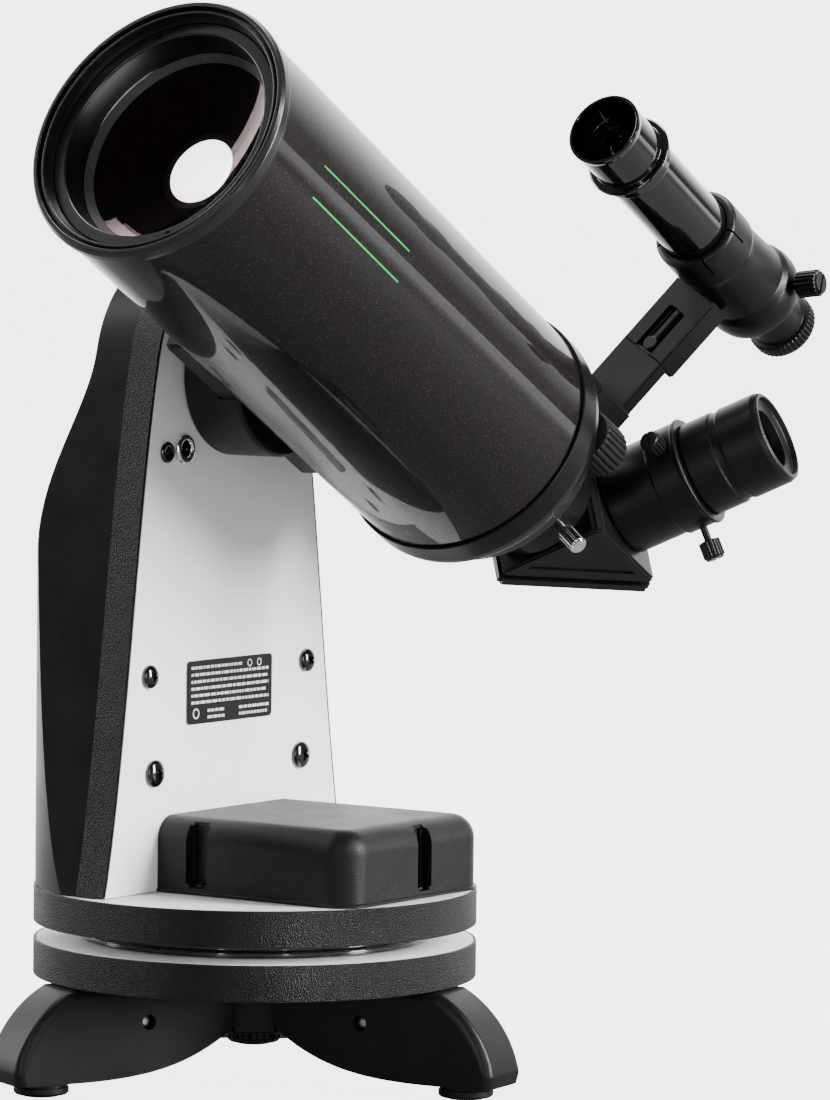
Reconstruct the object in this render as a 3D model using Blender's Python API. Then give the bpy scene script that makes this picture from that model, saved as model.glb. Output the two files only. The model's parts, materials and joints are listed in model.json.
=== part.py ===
"""A table-top Maksutov telescope: a 70 mm tube on a single-arm motorised mount.

The object is made in its own frame, in metres, +Z up. The azimuth axis is vertical, the tube looks
towards -Y and upwards, and the arm stands on the -X side. The root empty is moved at the end, so
that the frame's origin is the middle of the bounding box, on the surface that the feet stand on.
"""

from math import cos, pi, radians, sin, sqrt

import bmesh
import bpy
from mathutils import Vector
from mathutils.geometry import interpolate_bezier

GAP = 0.0003
# The turn that lays a piece made along Z down along X
LAY_X = (0, pi / 2, 0)

# Turntable and stand
DISC_RADIUS = 0.075
DISC_THICKNESS = 0.0122
BAND_THICKNESS = 0.001
BASE_BOARD_BOTTOM = 0.0361
BASE_BOARD_TOP = BASE_BOARD_BOTTOM + DISC_THICKNESS
TURNTABLE_GAP = 0.0057
TURNTABLE_BOTTOM = BASE_BOARD_TOP + TURNTABLE_GAP
TURNTABLE_TOP = TURNTABLE_BOTTOM + DISC_THICKNESS
BEARING_OUTER = 0.0585
BEARING_INNER = 0.040
BOLT_RADIUS = 0.005
LEG_HEADINGS = (6, 126, 246)
LEG_TIP = 0.0966
LEG_ROOT = 0.014
LEG_SHOULDER = 0.0755
LEG_WIDTH = 0.023
LEG_CHAMFER = 0.0032
FOOT_REACH = 0.0815
FOOT_RADIUS = 0.0092
FOOT_HEIGHT = 0.0045
HUB_RADIUS = 0.0134
HUB_BOTTOM = 0.0165
BOLT_HEAD_BOTTOM = 0.0133

# Arm
PANEL_X = -0.012
ARM_BACK_X = -0.024
ARM_FOOT_HALF_WIDTH = 0.069
ARM_ARCH_RADIUS = 0.0415
ARM_ARCH_CENTRE = 0.172
ARM_ARCH_START = radians(12.1)
HOUSING_RADIUS = 0.0745
HOUSING_TOP_X = -0.039
HOUSING_TAPER_START = 0.113
HOUSING_TAPER_END = 0.180
WALL = 0.0022
SCREW_SPOTS = ((0.0449, 0.0725, 0.0040), (0.0418, 0.0399, 0.00465))
LABEL_SIZE = (0.0480, 0.0214)
LABEL_HEIGHT = 0.0656
JACK_SPOT = (-0.0269, 0.1477)
JACK_RADIUS = 0.00505
JACK_SLEEVE_RADIUS = 0.0042
PLUG_SPOT = (-0.0364, 0.1470)
PLUG_RADIUS = 0.0036
PLUG_STEM_RADIUS = 0.0027

# Battery box
BOX_X = (PANEL_X + GAP, 0.0670)
BOX_HALF_WIDTH = 0.0396
BOX_HEIGHT = 0.0255
BOX_CORNER = 0.010
BOX_LEAST_CORNER = 0.0015
BOX_CORNER_STEPS = 6
BOX_EDGE = 0.008
SLOT_DEPTH = 0.005

# Drives: module in metres, teeth, and the distance between a gear and its pinion
GEAR_MODULE = 0.00107
GEAR_TEETH = 36
PINION_TEETH = 9
GEAR_CENTRES = GEAR_MODULE * (GEAR_TEETH + PINION_TEETH) / 2
GEAR_WIDTH = 0.004
AZIMUTH_GEAR_BOTTOM = BASE_BOARD_TOP + 0.0008
AZIMUTH_PINION_HEADING = radians(-60)

# Altitude axis and optical tube. TAU is the distance behind the front ring's face.
REST_ALTITUDE = radians(29.75)
ALTITUDE_HEIGHT = TURNTABLE_TOP + 0.173
ALTITUDE_HUB_RADIUS = 0.028
ALTITUDE_SHAFT_RADIUS = 0.008
TUBE_OFFSET = 0.0567
TUBE_RISE = 0.0039
FRONT_REACH = 0.1578
RING_RADIUS = 0.046
RING_LENGTH = 0.0056
TUBE_RADIUS = 0.0449
TUBE_WALL = 0.0013
TUBE_END_TAU = 0.2002
REAR_CELL_TAU = 0.209
REAR_FACE_TAU = 0.225
APERTURE_RADIUS = 0.0356
MENISCUS_RADIUS = 0.0379
MENISCUS_FRONT_CURVE = 0.075
MENISCUS_REAR_CURVE = 0.077
MENISCUS_REAR_TAU = 0.0309
MENISCUS_THICKNESS = 0.0065
MIRROR_TAU = 0.185
BAR_HALF_WIDTH = 0.020
BAR_FORWARD = 0.0552
BAR_BACKWARD = 0.035
BAR_X = (0.0026, 0.0108)

# Focuser, visual back and finder, placed by angle from +X towards the tube's upper side
FOCUS_ANGLE = radians(22.6)
FOCUS_REACH = 0.0324
BACK_RADIUS = 0.0215
BACK_END_TAU = 0.2535
BACK_SCREW_ANGLE = radians(-36)
BACK_SCREW_TAU = 0.246
FINDER_ANGLE = radians(60)
FINDER_REACH = 0.1034
FINDER_RADIUS = 0.0120
STALK_TAU = 0.242
STALK_WIDTH = 0.021

# Star diagonal and eyepiece, whose axis leaves the optical axis at DIAGONAL_TAU
DIAGONAL_TAU = 0.275
DIAGONAL_ANGLE = radians(28.6)
DIAGONAL_HALF_LEG = 0.021
DIAGONAL_HALF_WIDTH = 0.022
BARREL_RADIUS = 0.01587
EYEPIECE_END = 0.0826
COLLAR_REACH = 0.046
HOLDER_SCREWS = ((radians(88), 0.0200), (radians(208), 0.0240))


def clear_scene():
    for obj in list(bpy.data.objects):
        bpy.data.objects.remove(obj, do_unlink=True)


def material(name, color, roughness, metallic=0.0):
    made = bpy.data.materials.new(name)
    made.use_nodes = True
    shader = made.node_tree.nodes["Principled BSDF"]
    shader.inputs["Base Color"].default_value = (*color, 1.0)
    shader.inputs["Roughness"].default_value = roughness
    shader.inputs["Metallic"].default_value = metallic
    return made


def empty(name, parent=None, location=(0, 0, 0), rotation=(0, 0, 0)):
    axis = bpy.data.objects.new(name, None)
    axis.empty_display_size = 0.02
    axis.parent = parent
    axis.location = location
    axis.rotation_euler = rotation
    bpy.context.collection.objects.link(axis)
    return axis


def solid(name, bm, finish, parent, location=(0, 0, 0), rotation=(0, 0, 0)):
    """Makes an object of a bmesh, with its normals out and its round faces smooth."""
    bmesh.ops.recalc_face_normals(bm, faces=bm.faces)
    mesh = bpy.data.meshes.new(name)
    bm.to_mesh(mesh)
    bm.free()
    mesh.shade_smooth()
    mesh.set_sharp_from_angle(angle=radians(35))
    if finish:
        mesh.materials.append(finish)
    obj = bpy.data.objects.new(name, mesh)
    obj.parent = parent
    obj.location = location
    obj.rotation_euler = rotation
    bpy.context.collection.objects.link(obj)
    return obj


def loft(rings, closed=False, caps=True):
    """A skin over rings of points, each ring with as many points as the next."""
    bm = bmesh.new()
    made = [[bm.verts.new(point) for point in ring] for ring in rings]
    pairs = list(zip(made, made[1:]))
    if closed:
        pairs.append((made[-1], made[0]))
    count = len(rings[0])
    for low, high in pairs:
        for i in range(count):
            j = (i + 1) % count
            bm.faces.new((low[i], low[j], high[j], high[i]))
    if caps and not closed:
        bm.faces.new(made[0])
        bm.faces.new(made[-1])
    return bm


def turned(profile, segments=48, ribs=()):
    """Turns (radius, z) points about Z. Without a point on the axis the outline closes on itself.

    The points whose places are listed in ribs stand in and out by turns, as a knurl.
    """
    on_axis = profile[0][0] == 0
    body = profile[1:-1] if on_axis else profile
    first = 1 if on_axis else 0
    rings = []
    for place, (radius, z) in enumerate(body, first):
        depth = 0.07 * radius if place in ribs else 0.0
        rings.append(
            [
                (
                    (radius - depth * (k % 2)) * cos(2 * pi * k / segments),
                    (radius - depth * (k % 2)) * sin(2 * pi * k / segments),
                    z,
                )
                for k in range(segments)
            ]
        )
    return loft(rings, closed=not on_axis, caps=on_axis)


def extruded(outline, start, end, axis="z"):
    """An outline of (a, b) points between two places on an axis: z takes x, y; x takes y, z."""
    if axis == "z":
        rings = [[(a, b, place) for a, b in outline] for place in (start, end)]
    else:
        rings = [[(place, a, b) for a, b in outline] for place in (start, end)]
    return loft(rings)


def block(low, high, bevel=0.0):
    """A box between two corners, its edges rounded off by bevel."""
    size = Vector(high) - Vector(low)
    bm = bmesh.new()
    bmesh.ops.create_cube(bm, size=1.0)
    bmesh.ops.scale(bm, vec=size, verts=bm.verts)
    bmesh.ops.translate(bm, vec=(Vector(low) + Vector(high)) / 2, verts=bm.verts)
    if bevel:
        bmesh.ops.bevel(bm, geom=bm.edges[:], offset=bevel, segments=1, affect="EDGES")
    return bm


def rod(radius, start, end, segments=24):
    return turned([(0, start), (radius, start), (radius, end), (0, end)], segments)


def combine(obj, tool, operation="DIFFERENCE"):
    """Cuts a hidden tool object from obj, or joins it on."""
    tool.hide_render = True
    tool.display_type = "WIRE"
    boolean = obj.modifiers.new(tool.name, "BOOLEAN")
    boolean.operation = operation
    boolean.object = tool
    return obj


def cutter(obj, name, bm, location=(0, 0, 0), rotation=(0, 0, 0)):
    combine(obj, solid(name, bm, None, obj.parent, location, rotation))


def addition(obj, name, bm, location=(0, 0, 0), rotation=(0, 0, 0)):
    combine(obj, solid(name, bm, None, obj.parent, location, rotation), "UNION")


def rounded_outline(half_x, half_y, radius, steps=4):
    """A rectangle with round corners, the same count of points whatever its size."""
    outline = []
    for corner in range(4):
        sign_x = 1 if corner in (0, 3) else -1
        sign_y = 1 if corner in (0, 1) else -1
        for k in range(steps + 1):
            angle = pi / 2 * (corner + k / steps)
            x = sign_x * (half_x - radius) + radius * cos(angle)
            y = sign_y * (half_y - radius) + radius * sin(angle)
            outline.append((x, y))
    return outline


def gear_outline(teeth):
    """Slim trapezoid teeth: they mesh with play, as cheap moulded gears do."""
    pitch_radius = GEAR_MODULE * teeth / 2
    tip, root = pitch_radius + 0.85 * GEAR_MODULE, pitch_radius - 1.1 * GEAR_MODULE
    half_root, half_tip = 0.62 * GEAR_MODULE, 0.24 * GEAR_MODULE
    outline = []
    for tooth in range(teeth):
        middle = 2 * pi * tooth / teeth
        for radius, half in (
            (root, -half_root),
            (tip, -half_tip),
            (tip, half_tip),
            (root, half_root),
        ):
            angle = middle + half / radius
            outline.append((radius * cos(angle), radius * sin(angle)))
    return outline


def turned_outline(outline, angle):
    return [(x * cos(angle) - y * sin(angle), x * sin(angle) + y * cos(angle)) for x, y in outline]


def thumbscrew(name, finish, parent, location, rotation, head, shaft):
    """A knurled screw along +Z: head is (radius, start, end) and shaft is (radius, start)."""
    head_radius, head_start, head_end = head
    shaft_radius, shaft_start = shaft
    rim = 0.12 * head_radius
    profile = [
        (0, shaft_start),
        (shaft_radius, shaft_start),
        (shaft_radius, head_start),
        (head_radius - rim, head_start),
        (head_radius, head_start + rim),
        (head_radius, head_end - rim),
        (head_radius - rim, head_end),
        (0, head_end),
    ]
    screw = turned(profile, 16, ribs=(4, 5))
    return solid(name, screw, finish, parent, location, rotation)


def arm_outline(inset=0.0):
    """The arm's side view as (y, z above the turntable): a flared foot under a round arch."""
    reach = ARM_ARCH_RADIUS - inset
    arch_y = reach * cos(ARM_ARCH_START)
    arch_z = ARM_ARCH_CENTRE + reach * sin(ARM_ARCH_START)
    side = interpolate_bezier(
        Vector((ARM_FOOT_HALF_WIDTH - inset, 0)),
        Vector((0.0570 - inset, 0.050)),
        Vector((0.0515 - inset, 0.135)),
        Vector((arch_y, arch_z)),
        9,
    )
    right = [(point.x, point.y) for point in side]
    steps = 6
    for k in range(1, steps):
        angle = ARM_ARCH_START + (pi / 2 - ARM_ARCH_START) * k / steps
        right.append((reach * cos(angle), ARM_ARCH_CENTRE + reach * sin(angle)))
    return right


def full_outline(inset=0.0, lift=0.0):
    """Both sides of the arm's side view with its crown, lifted to the turntable's top."""
    right = arm_outline(inset)
    crown = (0.0, ARM_ARCH_CENTRE + ARM_ARCH_RADIUS - inset)
    points = right + [crown] + [(-y, z) for y, z in reversed(right)]
    points = [(y, max(z, lift)) for y, z in points]
    return [(y, TURNTABLE_TOP + z) for y, z in points]


def make_materials():
    return {
        "laminate": material("white laminate", (0.80, 0.80, 0.79), 0.45),
        "edging": material("black edging", (0.020, 0.020, 0.022), 0.60),
        "plastic": material("black plastic", (0.018, 0.018, 0.019), 0.50),
        "rubber": material("black rubber", (0.012, 0.012, 0.012), 0.80),
        "tube_paint": material("tube paint", (0.022, 0.017, 0.016), 0.30, 0.3),
        "anodised": material("black anodised", (0.016, 0.016, 0.017), 0.35, 0.4),
        "chrome": material("chrome", (0.80, 0.80, 0.80), 0.15, 1.0),
        "steel": material("steel", (0.45, 0.45, 0.46), 0.35, 1.0),
        "brass": material("brass", (0.70, 0.50, 0.22), 0.35, 1.0),
        "acetal": material("black acetal", (0.030, 0.030, 0.031), 0.40),
        "glass": material("coated glass", (0.10, 0.02, 0.03), 0.05),
        "mirror": material("mirror", (0.90, 0.90, 0.90), 0.05, 1.0),
        "label": material("label", (0.015, 0.015, 0.015), 0.40),
        "circuit": material("circuit board", (0.02, 0.16, 0.07), 0.45),
        "battery": material("battery sleeve", (0.10, 0.10, 0.12), 0.40),
    }


def ring_profile(inner, outer, bottom, top):
    return [(outer, top), (outer, bottom), (inner, bottom), (inner, top)]


def make_stand(finish, root):
    """The fixed part: three legs on a hub, the base board and the pivot bolt with its gear."""
    board_radius = DISC_RADIUS - BAND_THICKNESS - GAP
    hole = BOLT_RADIUS + GAP
    board = ring_profile(hole, board_radius, BASE_BOARD_BOTTOM, BASE_BOARD_TOP)
    solid("base_board", turned(board, 48), finish["laminate"], root)
    band = ring_profile(
        DISC_RADIUS - BAND_THICKNESS, DISC_RADIUS, BASE_BOARD_BOTTOM, BASE_BOARD_TOP
    )
    solid("base_board_band", turned(band, 48), finish["edging"], root)
    bearing = ring_profile(
        BEARING_INNER, BEARING_OUTER, BASE_BOARD_TOP + GAP, TURNTABLE_BOTTOM - GAP
    )
    solid("azimuth_bearing", turned(bearing, 36), finish["acetal"], root)

    hub_turn = radians(LEG_HEADINGS[0] + 30)
    prism = rod(HUB_RADIUS / cos(pi / 6), HUB_BOTTOM, BASE_BOARD_BOTTOM - GAP, 6)
    hub = solid("leg_hub", prism, finish["plastic"], root, rotation=(0, 0, hub_turn))
    cutter(hub, "leg_hub_bore", rod(hole, HUB_BOTTOM - 0.001, BASE_BOARD_BOTTOM + 0.001))

    bolt = [
        (0, BOLT_HEAD_BOTTOM),
        (0.0085, BOLT_HEAD_BOTTOM),
        (0.0095, BOLT_HEAD_BOTTOM + 0.001),
        (0.0095, HUB_BOTTOM - GAP),
        (BOLT_RADIUS, HUB_BOTTOM - GAP),
        (BOLT_RADIUS, TURNTABLE_TOP + GAP),
        (0.0090, TURNTABLE_TOP + GAP),
        (0.0090, TURNTABLE_TOP + 0.0048),
        (0, TURNTABLE_TOP + 0.0048),
    ]
    solid("azimuth_bolt", turned(bolt, 16), finish["steel"], root)

    bottom = AZIMUTH_GEAR_BOTTOM
    wheel = extruded(gear_outline(GEAR_TEETH), bottom, bottom + GEAR_WIDTH)
    gear = solid("azimuth_gear", wheel, finish["acetal"], root)
    cutter(gear, "azimuth_gear_bore", rod(hole, bottom - 0.001, bottom + 0.01))

    for number, heading in enumerate(LEG_HEADINGS, 1):
        turn = (0, 0, radians(heading))
        make_leg(f"leg_{number}", finish["plastic"], root, turn)
        foot = [
            (0, 0),
            (FOOT_RADIUS - 0.0008, 0),
            (FOOT_RADIUS, 0.0008),
            (FOOT_RADIUS, FOOT_HEIGHT),
            (0, FOOT_HEIGHT),
        ]
        spot = (FOOT_REACH * cos(turn[2]), FOOT_REACH * sin(turn[2]), 0)
        solid(f"foot_{number}", turned(foot, 20), finish["rubber"], root, spot)


def leg_outline():
    """A leg's side view as (x, z): a humped back, a tip, and a belly arched between foot and hub."""
    top = BASE_BOARD_BOTTOM - GAP
    sole = FOOT_HEIGHT + GAP
    back = interpolate_bezier(
        Vector((LEG_SHOULDER, top)),
        Vector((0.088, 0.030)),
        Vector((0.0955, 0.018)),
        Vector((LEG_TIP, 0.0085)),
        7,
    )
    belly = interpolate_bezier(
        Vector((0.0695, sole)),
        Vector((0.045, 0.0052)),
        Vector((0.030, 0.0085)),
        Vector((LEG_ROOT, 0.0200)),
        7,
    )
    outline = [(LEG_ROOT, top)]
    outline += [(point.x, point.y) for point in back]
    outline += [(LEG_TIP - 0.001, sole)]
    outline += [(point.x, point.y) for point in belly]
    return outline


def leg_ring(y, inset):
    """The leg's outline in one upright plane, its back and tip drawn in by inset."""
    top = BASE_BOARD_BOTTOM - GAP
    ring = []
    for x, z in leg_outline():
        on_back = x > LEG_SHOULDER - 0.0015
        in_x = inset if on_back and z < top else 0
        in_z = inset if on_back and z > 0.012 else 0
        ring.append((x - in_x, y, z - in_z))
    return ring


def make_leg(name, finish, root, turn):
    """A leg along +X with chamfered back edges and a round screw recess on each side."""
    half = LEG_WIDTH / 2
    narrow = LEG_CHAMFER
    rings = [
        leg_ring(-half, narrow),
        leg_ring(-half + narrow, 0),
        leg_ring(half - narrow, 0),
        leg_ring(half, narrow),
    ]
    leg = solid(name, loft(rings), finish, root, rotation=turn)
    along = Vector((cos(turn[2]), sin(turn[2]), 0))
    across = Vector((-sin(turn[2]), cos(turn[2]), 0))
    for side in (-1, 1):
        spot = 0.047 * along + side * half * across + Vector((0, 0, 0.0235))
        recess = rod(0.0026, -0.004, 0.004, 16)
        cutter(leg, f"{name}_recess_{side}", recess, spot, (pi / 2, 0, turn[2]))


def housing_section(y_half, z, inset):
    """The housing's outline at one height: flat at the board, round outside, thinner at the top."""
    rise = min(max((z - HOUSING_TAPER_START) / (HOUSING_TAPER_END - HOUSING_TAPER_START), 0), 1)
    blend = rise * rise * (3 - 2 * rise)
    radius = HOUSING_RADIUS - inset
    open_side = ARM_BACK_X - GAP + (0.004 if inset else 0.0)
    points = [(open_side, y_half)]
    steps = 10
    for k in range(steps + 1):
        y = y_half * cos(pi * k / steps)
        x = -(1 - blend) * sqrt(radius * radius - y * y) + blend * (HOUSING_TOP_X + inset)
        points.append((x, y))
    points.append((open_side, -y_half))
    return [(x, y, TURNTABLE_TOP + z) for x, y in points]


def make_arm(finish, platform):
    """The upright's laminated board, drilled for its fittings, and the edging round it."""
    outline = full_outline(BAND_THICKNESS + GAP, GAP)
    board = solid(
        "arm_board", extruded(outline, ARM_BACK_X, PANEL_X, "x"), finish["laminate"], platform
    )
    outer = full_outline(0, GAP)
    inner = full_outline(BAND_THICKNESS, GAP)
    rings = [
        [(ARM_BACK_X, *o), (PANEL_X, *o), (PANEL_X, *i), (ARM_BACK_X, *i)]
        for o, i in zip(outer, inner)
    ]
    solid("arm_band", loft(rings), finish["edging"], platform)

    shaft_hole = rod(ALTITUDE_SHAFT_RADIUS + GAP, ARM_BACK_X - 0.001, PANEL_X + 0.001)
    cutter(board, "shaft_hole", shaft_hole, (0, 0, ALTITUDE_HEIGHT), LAY_X)
    spots = (("jack", JACK_SPOT, JACK_SLEEVE_RADIUS), ("plug", PLUG_SPOT, PLUG_STEM_RADIUS))
    for name, (y, z), radius in spots:
        hole = rod(radius + GAP, ARM_BACK_X - 0.001, PANEL_X + 0.001, 16)
        cutter(board, f"{name}_hole", hole, (0, y, TURNTABLE_TOP + z), LAY_X)
    make_panel_screws(finish, platform, board)
    make_panel_fittings(finish, platform)
    make_housing(finish, platform)


def make_panel_screws(finish, platform, board):
    """The four domed screws that hold the board to the housing."""
    number = 0
    for half, height, radius in SCREW_SPOTS:
        for side in (-1, 1):
            number += 1
            spot = (0, side * half, TURNTABLE_TOP + height)
            hole = rod(0.0018, PANEL_X - 0.008, PANEL_X + 0.001, 12)
            cutter(board, f"panel_screw_hole_{number}", hole, spot, LAY_X)
            dome = [
                (0, PANEL_X - 0.007),
                (0.0015, PANEL_X - 0.007),
                (0.0015, PANEL_X + GAP),
                (radius, PANEL_X + GAP),
                (radius, PANEL_X + 0.0009),
                (0.75 * radius, PANEL_X + 0.0021),
                (0.35 * radius, PANEL_X + 0.0026),
                (0, PANEL_X + 0.0026),
            ]
            name = f"panel_screw_{number}"
            solid(name, turned(dome, 14), finish["plastic"], platform, spot, LAY_X)


def make_panel_fittings(finish, platform):
    """The label plate, the power jack and the rubber plug beside it."""
    half_length, half_height = LABEL_SIZE[0] / 2, LABEL_SIZE[1] / 2
    outline = [
        (y, TURNTABLE_TOP + LABEL_HEIGHT + z)
        for y, z in rounded_outline(half_length, half_height, 0.0015, 3)
    ]
    plate = extruded(outline, PANEL_X + GAP, PANEL_X + GAP + 0.0005, "x")
    solid("label_plate", plate, finish["label"], platform)

    y, z = JACK_SPOT
    jack = [
        (JACK_RADIUS, PANEL_X + GAP),
        (JACK_SLEEVE_RADIUS, PANEL_X + GAP),
        (JACK_SLEEVE_RADIUS, ARM_BACK_X - 0.004),
        (0.0029, ARM_BACK_X - 0.004),
        (0.0029, PANEL_X + 0.0012),
        (0.0036, PANEL_X + 0.0018),
        (JACK_RADIUS, PANEL_X + 0.0012),
    ]
    spot = (0, y, TURNTABLE_TOP + z)
    solid("power_jack", turned(jack, 16), finish["chrome"], platform, spot, LAY_X)
    y, z = PLUG_SPOT
    plug = [
        (0, ARM_BACK_X),
        (PLUG_STEM_RADIUS, ARM_BACK_X),
        (PLUG_STEM_RADIUS, PANEL_X + GAP),
        (PLUG_RADIUS, PANEL_X + GAP),
        (PLUG_RADIUS, PANEL_X + 0.0010),
        (0.0026, PANEL_X + 0.0016),
        (0, PANEL_X + 0.0016),
    ]
    spot = (0, y, TURNTABLE_TOP + z)
    solid("rubber_plug", turned(plug, 14), finish["rubber"], platform, spot, LAY_X)


def make_housing(finish, platform):
    """The hollow shell on the arm's outer side."""
    levels = [(y - 0.001, max(z, GAP)) for y, z in arm_outline()]
    crown = ARM_ARCH_CENTRE + ARM_ARCH_RADIUS - 0.0012
    levels.append((0.006, crown))
    shell = solid(
        "arm_housing",
        loft([housing_section(y, z, 0.0) for y, z in levels]),
        finish["plastic"],
        platform,
    )
    hollow = [
        (y - WALL, z + (WALL if z < 0.01 else 0))
        for y, z in levels
        if z < ARM_ARCH_CENTRE + ARM_ARCH_RADIUS - 0.006
    ]
    cutter(shell, "housing_hollow", loft([housing_section(y, z, WALL) for y, z in hollow]))


def pinion_spot():
    heading = AZIMUTH_PINION_HEADING
    return (GEAR_CENTRES * cos(heading), GEAR_CENTRES * sin(heading), 0)


def make_platform(finish, platform):
    """What turns in azimuth: the upper board, the battery box, and the motors and electronics."""
    board_radius = DISC_RADIUS - BAND_THICKNESS - GAP
    board = ring_profile(BOLT_RADIUS + GAP, board_radius, TURNTABLE_BOTTOM, TURNTABLE_TOP)
    disc = solid("turntable_board", turned(board, 48), finish["laminate"], platform)
    spot = pinion_spot()
    hole = rod(0.0022, TURNTABLE_BOTTOM - 0.001, TURNTABLE_TOP + 0.001, 12)
    cutter(disc, "pinion_shaft_hole", hole, spot)
    band = ring_profile(
        DISC_RADIUS - BAND_THICKNESS, DISC_RADIUS, TURNTABLE_BOTTOM, TURNTABLE_TOP
    )
    solid("turntable_band", turned(band, 48), finish["edging"], platform)
    make_battery_cover(finish, platform)
    pack = block(
        (-0.004, 0.0125, TURNTABLE_TOP + 0.0012), (0.052, 0.0325, TURNTABLE_TOP + 0.0195), 0.003
    )
    solid("battery_pack", pack, finish["battery"], platform)

    deck = TURNTABLE_TOP + GAP
    motor = solid(
        "azimuth_motor",
        block((0.012, -0.031, deck), (0.047, -0.017, deck + 0.0045)),
        finish["steel"],
        platform,
    )
    can = rod(0.0065, 0.026, 0.049, 20)
    addition(motor, "azimuth_motor_can", can, (0, -0.024, deck + 0.0095), LAY_X)

    board = block(
        (ARM_BACK_X - 0.0062, -0.024, TURNTABLE_TOP + 0.030),
        (ARM_BACK_X - 0.0046, 0.024, TURNTABLE_TOP + 0.092),
    )
    circuit = solid("control_board", board, finish["circuit"], platform)
    for number, (y, z) in enumerate(((-0.010, 0.050), (0.011, 0.050), (0.0, 0.076)), 1):
        chip = block(
            (ARM_BACK_X - 0.0080, y - 0.006, TURNTABLE_TOP + z - 0.006),
            (ARM_BACK_X - 0.0060, y + 0.006, TURNTABLE_TOP + z + 0.006),
        )
        addition(circuit, f"chip_{number}", chip)

    pinion_z = ALTITUDE_HEIGHT - GEAR_CENTRES
    motor = solid(
        "altitude_motor",
        block(
            (ARM_BACK_X - 0.0058, -0.013, pinion_z - 0.022),
            (ARM_BACK_X - 0.0008, 0.013, pinion_z + 0.007),
        ),
        finish["steel"],
        platform,
    )
    can = rod(0.0085, pinion_z - 0.050, pinion_z - 0.015, 20)
    addition(motor, "altitude_motor_can", can, (ARM_BACK_X - 0.0100, 0, 0))


def make_battery_cover(finish, platform):
    """A thin moulded lid, flat where it meets the arm, with two upright screw slots in its walls."""
    deck = TURNTABLE_TOP + GAP
    height = BOX_HEIGHT - GAP

    def ring(back, inset, z):
        radius = max(BOX_CORNER - inset, BOX_LEAST_CORNER)
        centre = (BOX_X[1] - inset - radius, BOX_HALF_WIDTH - inset - radius)
        corner = []
        for k in range(BOX_CORNER_STEPS + 1):
            angle = pi / 2 * k / BOX_CORNER_STEPS
            corner.append((centre[0] + radius * sin(angle), centre[1] + radius * cos(angle)))
        half = [(back, BOX_HALF_WIDTH - inset), *corner]
        outline = half + [(x, -y) for x, y in reversed(half)]
        return [(x, y, deck + z) for x, y in outline]

    def dome(wall, start):
        back = BOX_X[0] + wall
        rings = [ring(back, wall, start)]
        for k in range(5):
            angle = pi / 2 * k / 4
            edge = BOX_EDGE - wall
            inset = wall + edge * (1 - cos(angle))
            rings.append(ring(back, inset, height - wall - edge * (1 - sin(angle))))
        return rings

    cover = solid("battery_cover", loft(dome(0.0, 0.0)), finish["plastic"], platform)
    hollow = solid("cover_hollow", loft(dome(WALL, -0.001)), None, platform)
    slots = (
        ("front", (0.0, -BOX_HALF_WIDTH), (0.0086, 0)),
        ("side", (BOX_X[1], -0.0006), (0, 0.0080)),
    )
    for name, (x, y), (wide_x, wide_y) in slots:
        reach_x = SLOT_DEPTH if wide_x == 0 else 0
        reach_y = SLOT_DEPTH if wide_y == 0 else 0
        low = Vector((x - reach_x, y - reach_y, deck + 0.0018))
        high = Vector((x + wide_x + reach_x, y + wide_y + reach_y, deck + 0.0235))
        wall_low = low - Vector((0.002, 0.002, 0.006))
        wall_high = high + Vector((0.002, 0.002, 0.002))
        combine(hollow, solid(f"slot_wall_{name}", block(wall_low, wall_high), None, platform))
        combine(cover, solid(f"slot_{name}", block(low, high), None, platform))
    combine(cover, hollow)


def make_gears(finish, platform, altitude):
    """The two motor pinions, in mesh with the fixed azimuth gear and the altitude gear."""
    outline = gear_outline(PINION_TEETH)
    bottom = AZIMUTH_GEAR_BOTTOM
    top = bottom + GEAR_WIDTH
    axis = empty("azimuth_pinion_axis", platform, pinion_spot())
    wheel = extruded(turned_outline(outline, pi / PINION_TEETH), bottom, top)
    pinion = solid("azimuth_pinion", wheel, finish["brass"], axis)
    addition(pinion, "azimuth_pinion_shaft", rod(0.0016, top - 0.001, TURNTABLE_TOP, 12))

    gear_x = ARM_BACK_X - 0.0110
    upright = (pi / 2 + REST_ALTITUDE, 0, 0)
    shaft_axis = empty("altitude_shaft_axis", altitude, rotation=upright)
    gear = solid(
        "altitude_gear",
        extruded(gear_outline(GEAR_TEETH), gear_x, gear_x + GEAR_WIDTH),
        finish["acetal"],
        shaft_axis,
        rotation=LAY_X,
    )
    bore = rod(ALTITUDE_SHAFT_RADIUS + GAP, gear_x - 0.001, gear_x + GEAR_WIDTH + 0.001)
    cutter(gear, "altitude_gear_bore", bore, rotation=LAY_X)
    axis = empty("altitude_pinion_axis", platform, (0, 0, ALTITUDE_HEIGHT - GEAR_CENTRES))
    solid(
        "altitude_pinion",
        extruded(outline, gear_x, gear_x + GEAR_WIDTH),
        finish["brass"],
        axis,
        rotation=LAY_X,
    )


def sphere_arc(radius, curve, tau, steps=3):
    """Points of a dished surface, from its edge to just short of the axis, crown at tau."""
    points = []
    for k in range(steps):
        r = radius * (1 - k / steps)
        points.append((r, tau - (curve - sqrt(curve * curve - r * r))))
    return points


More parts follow.
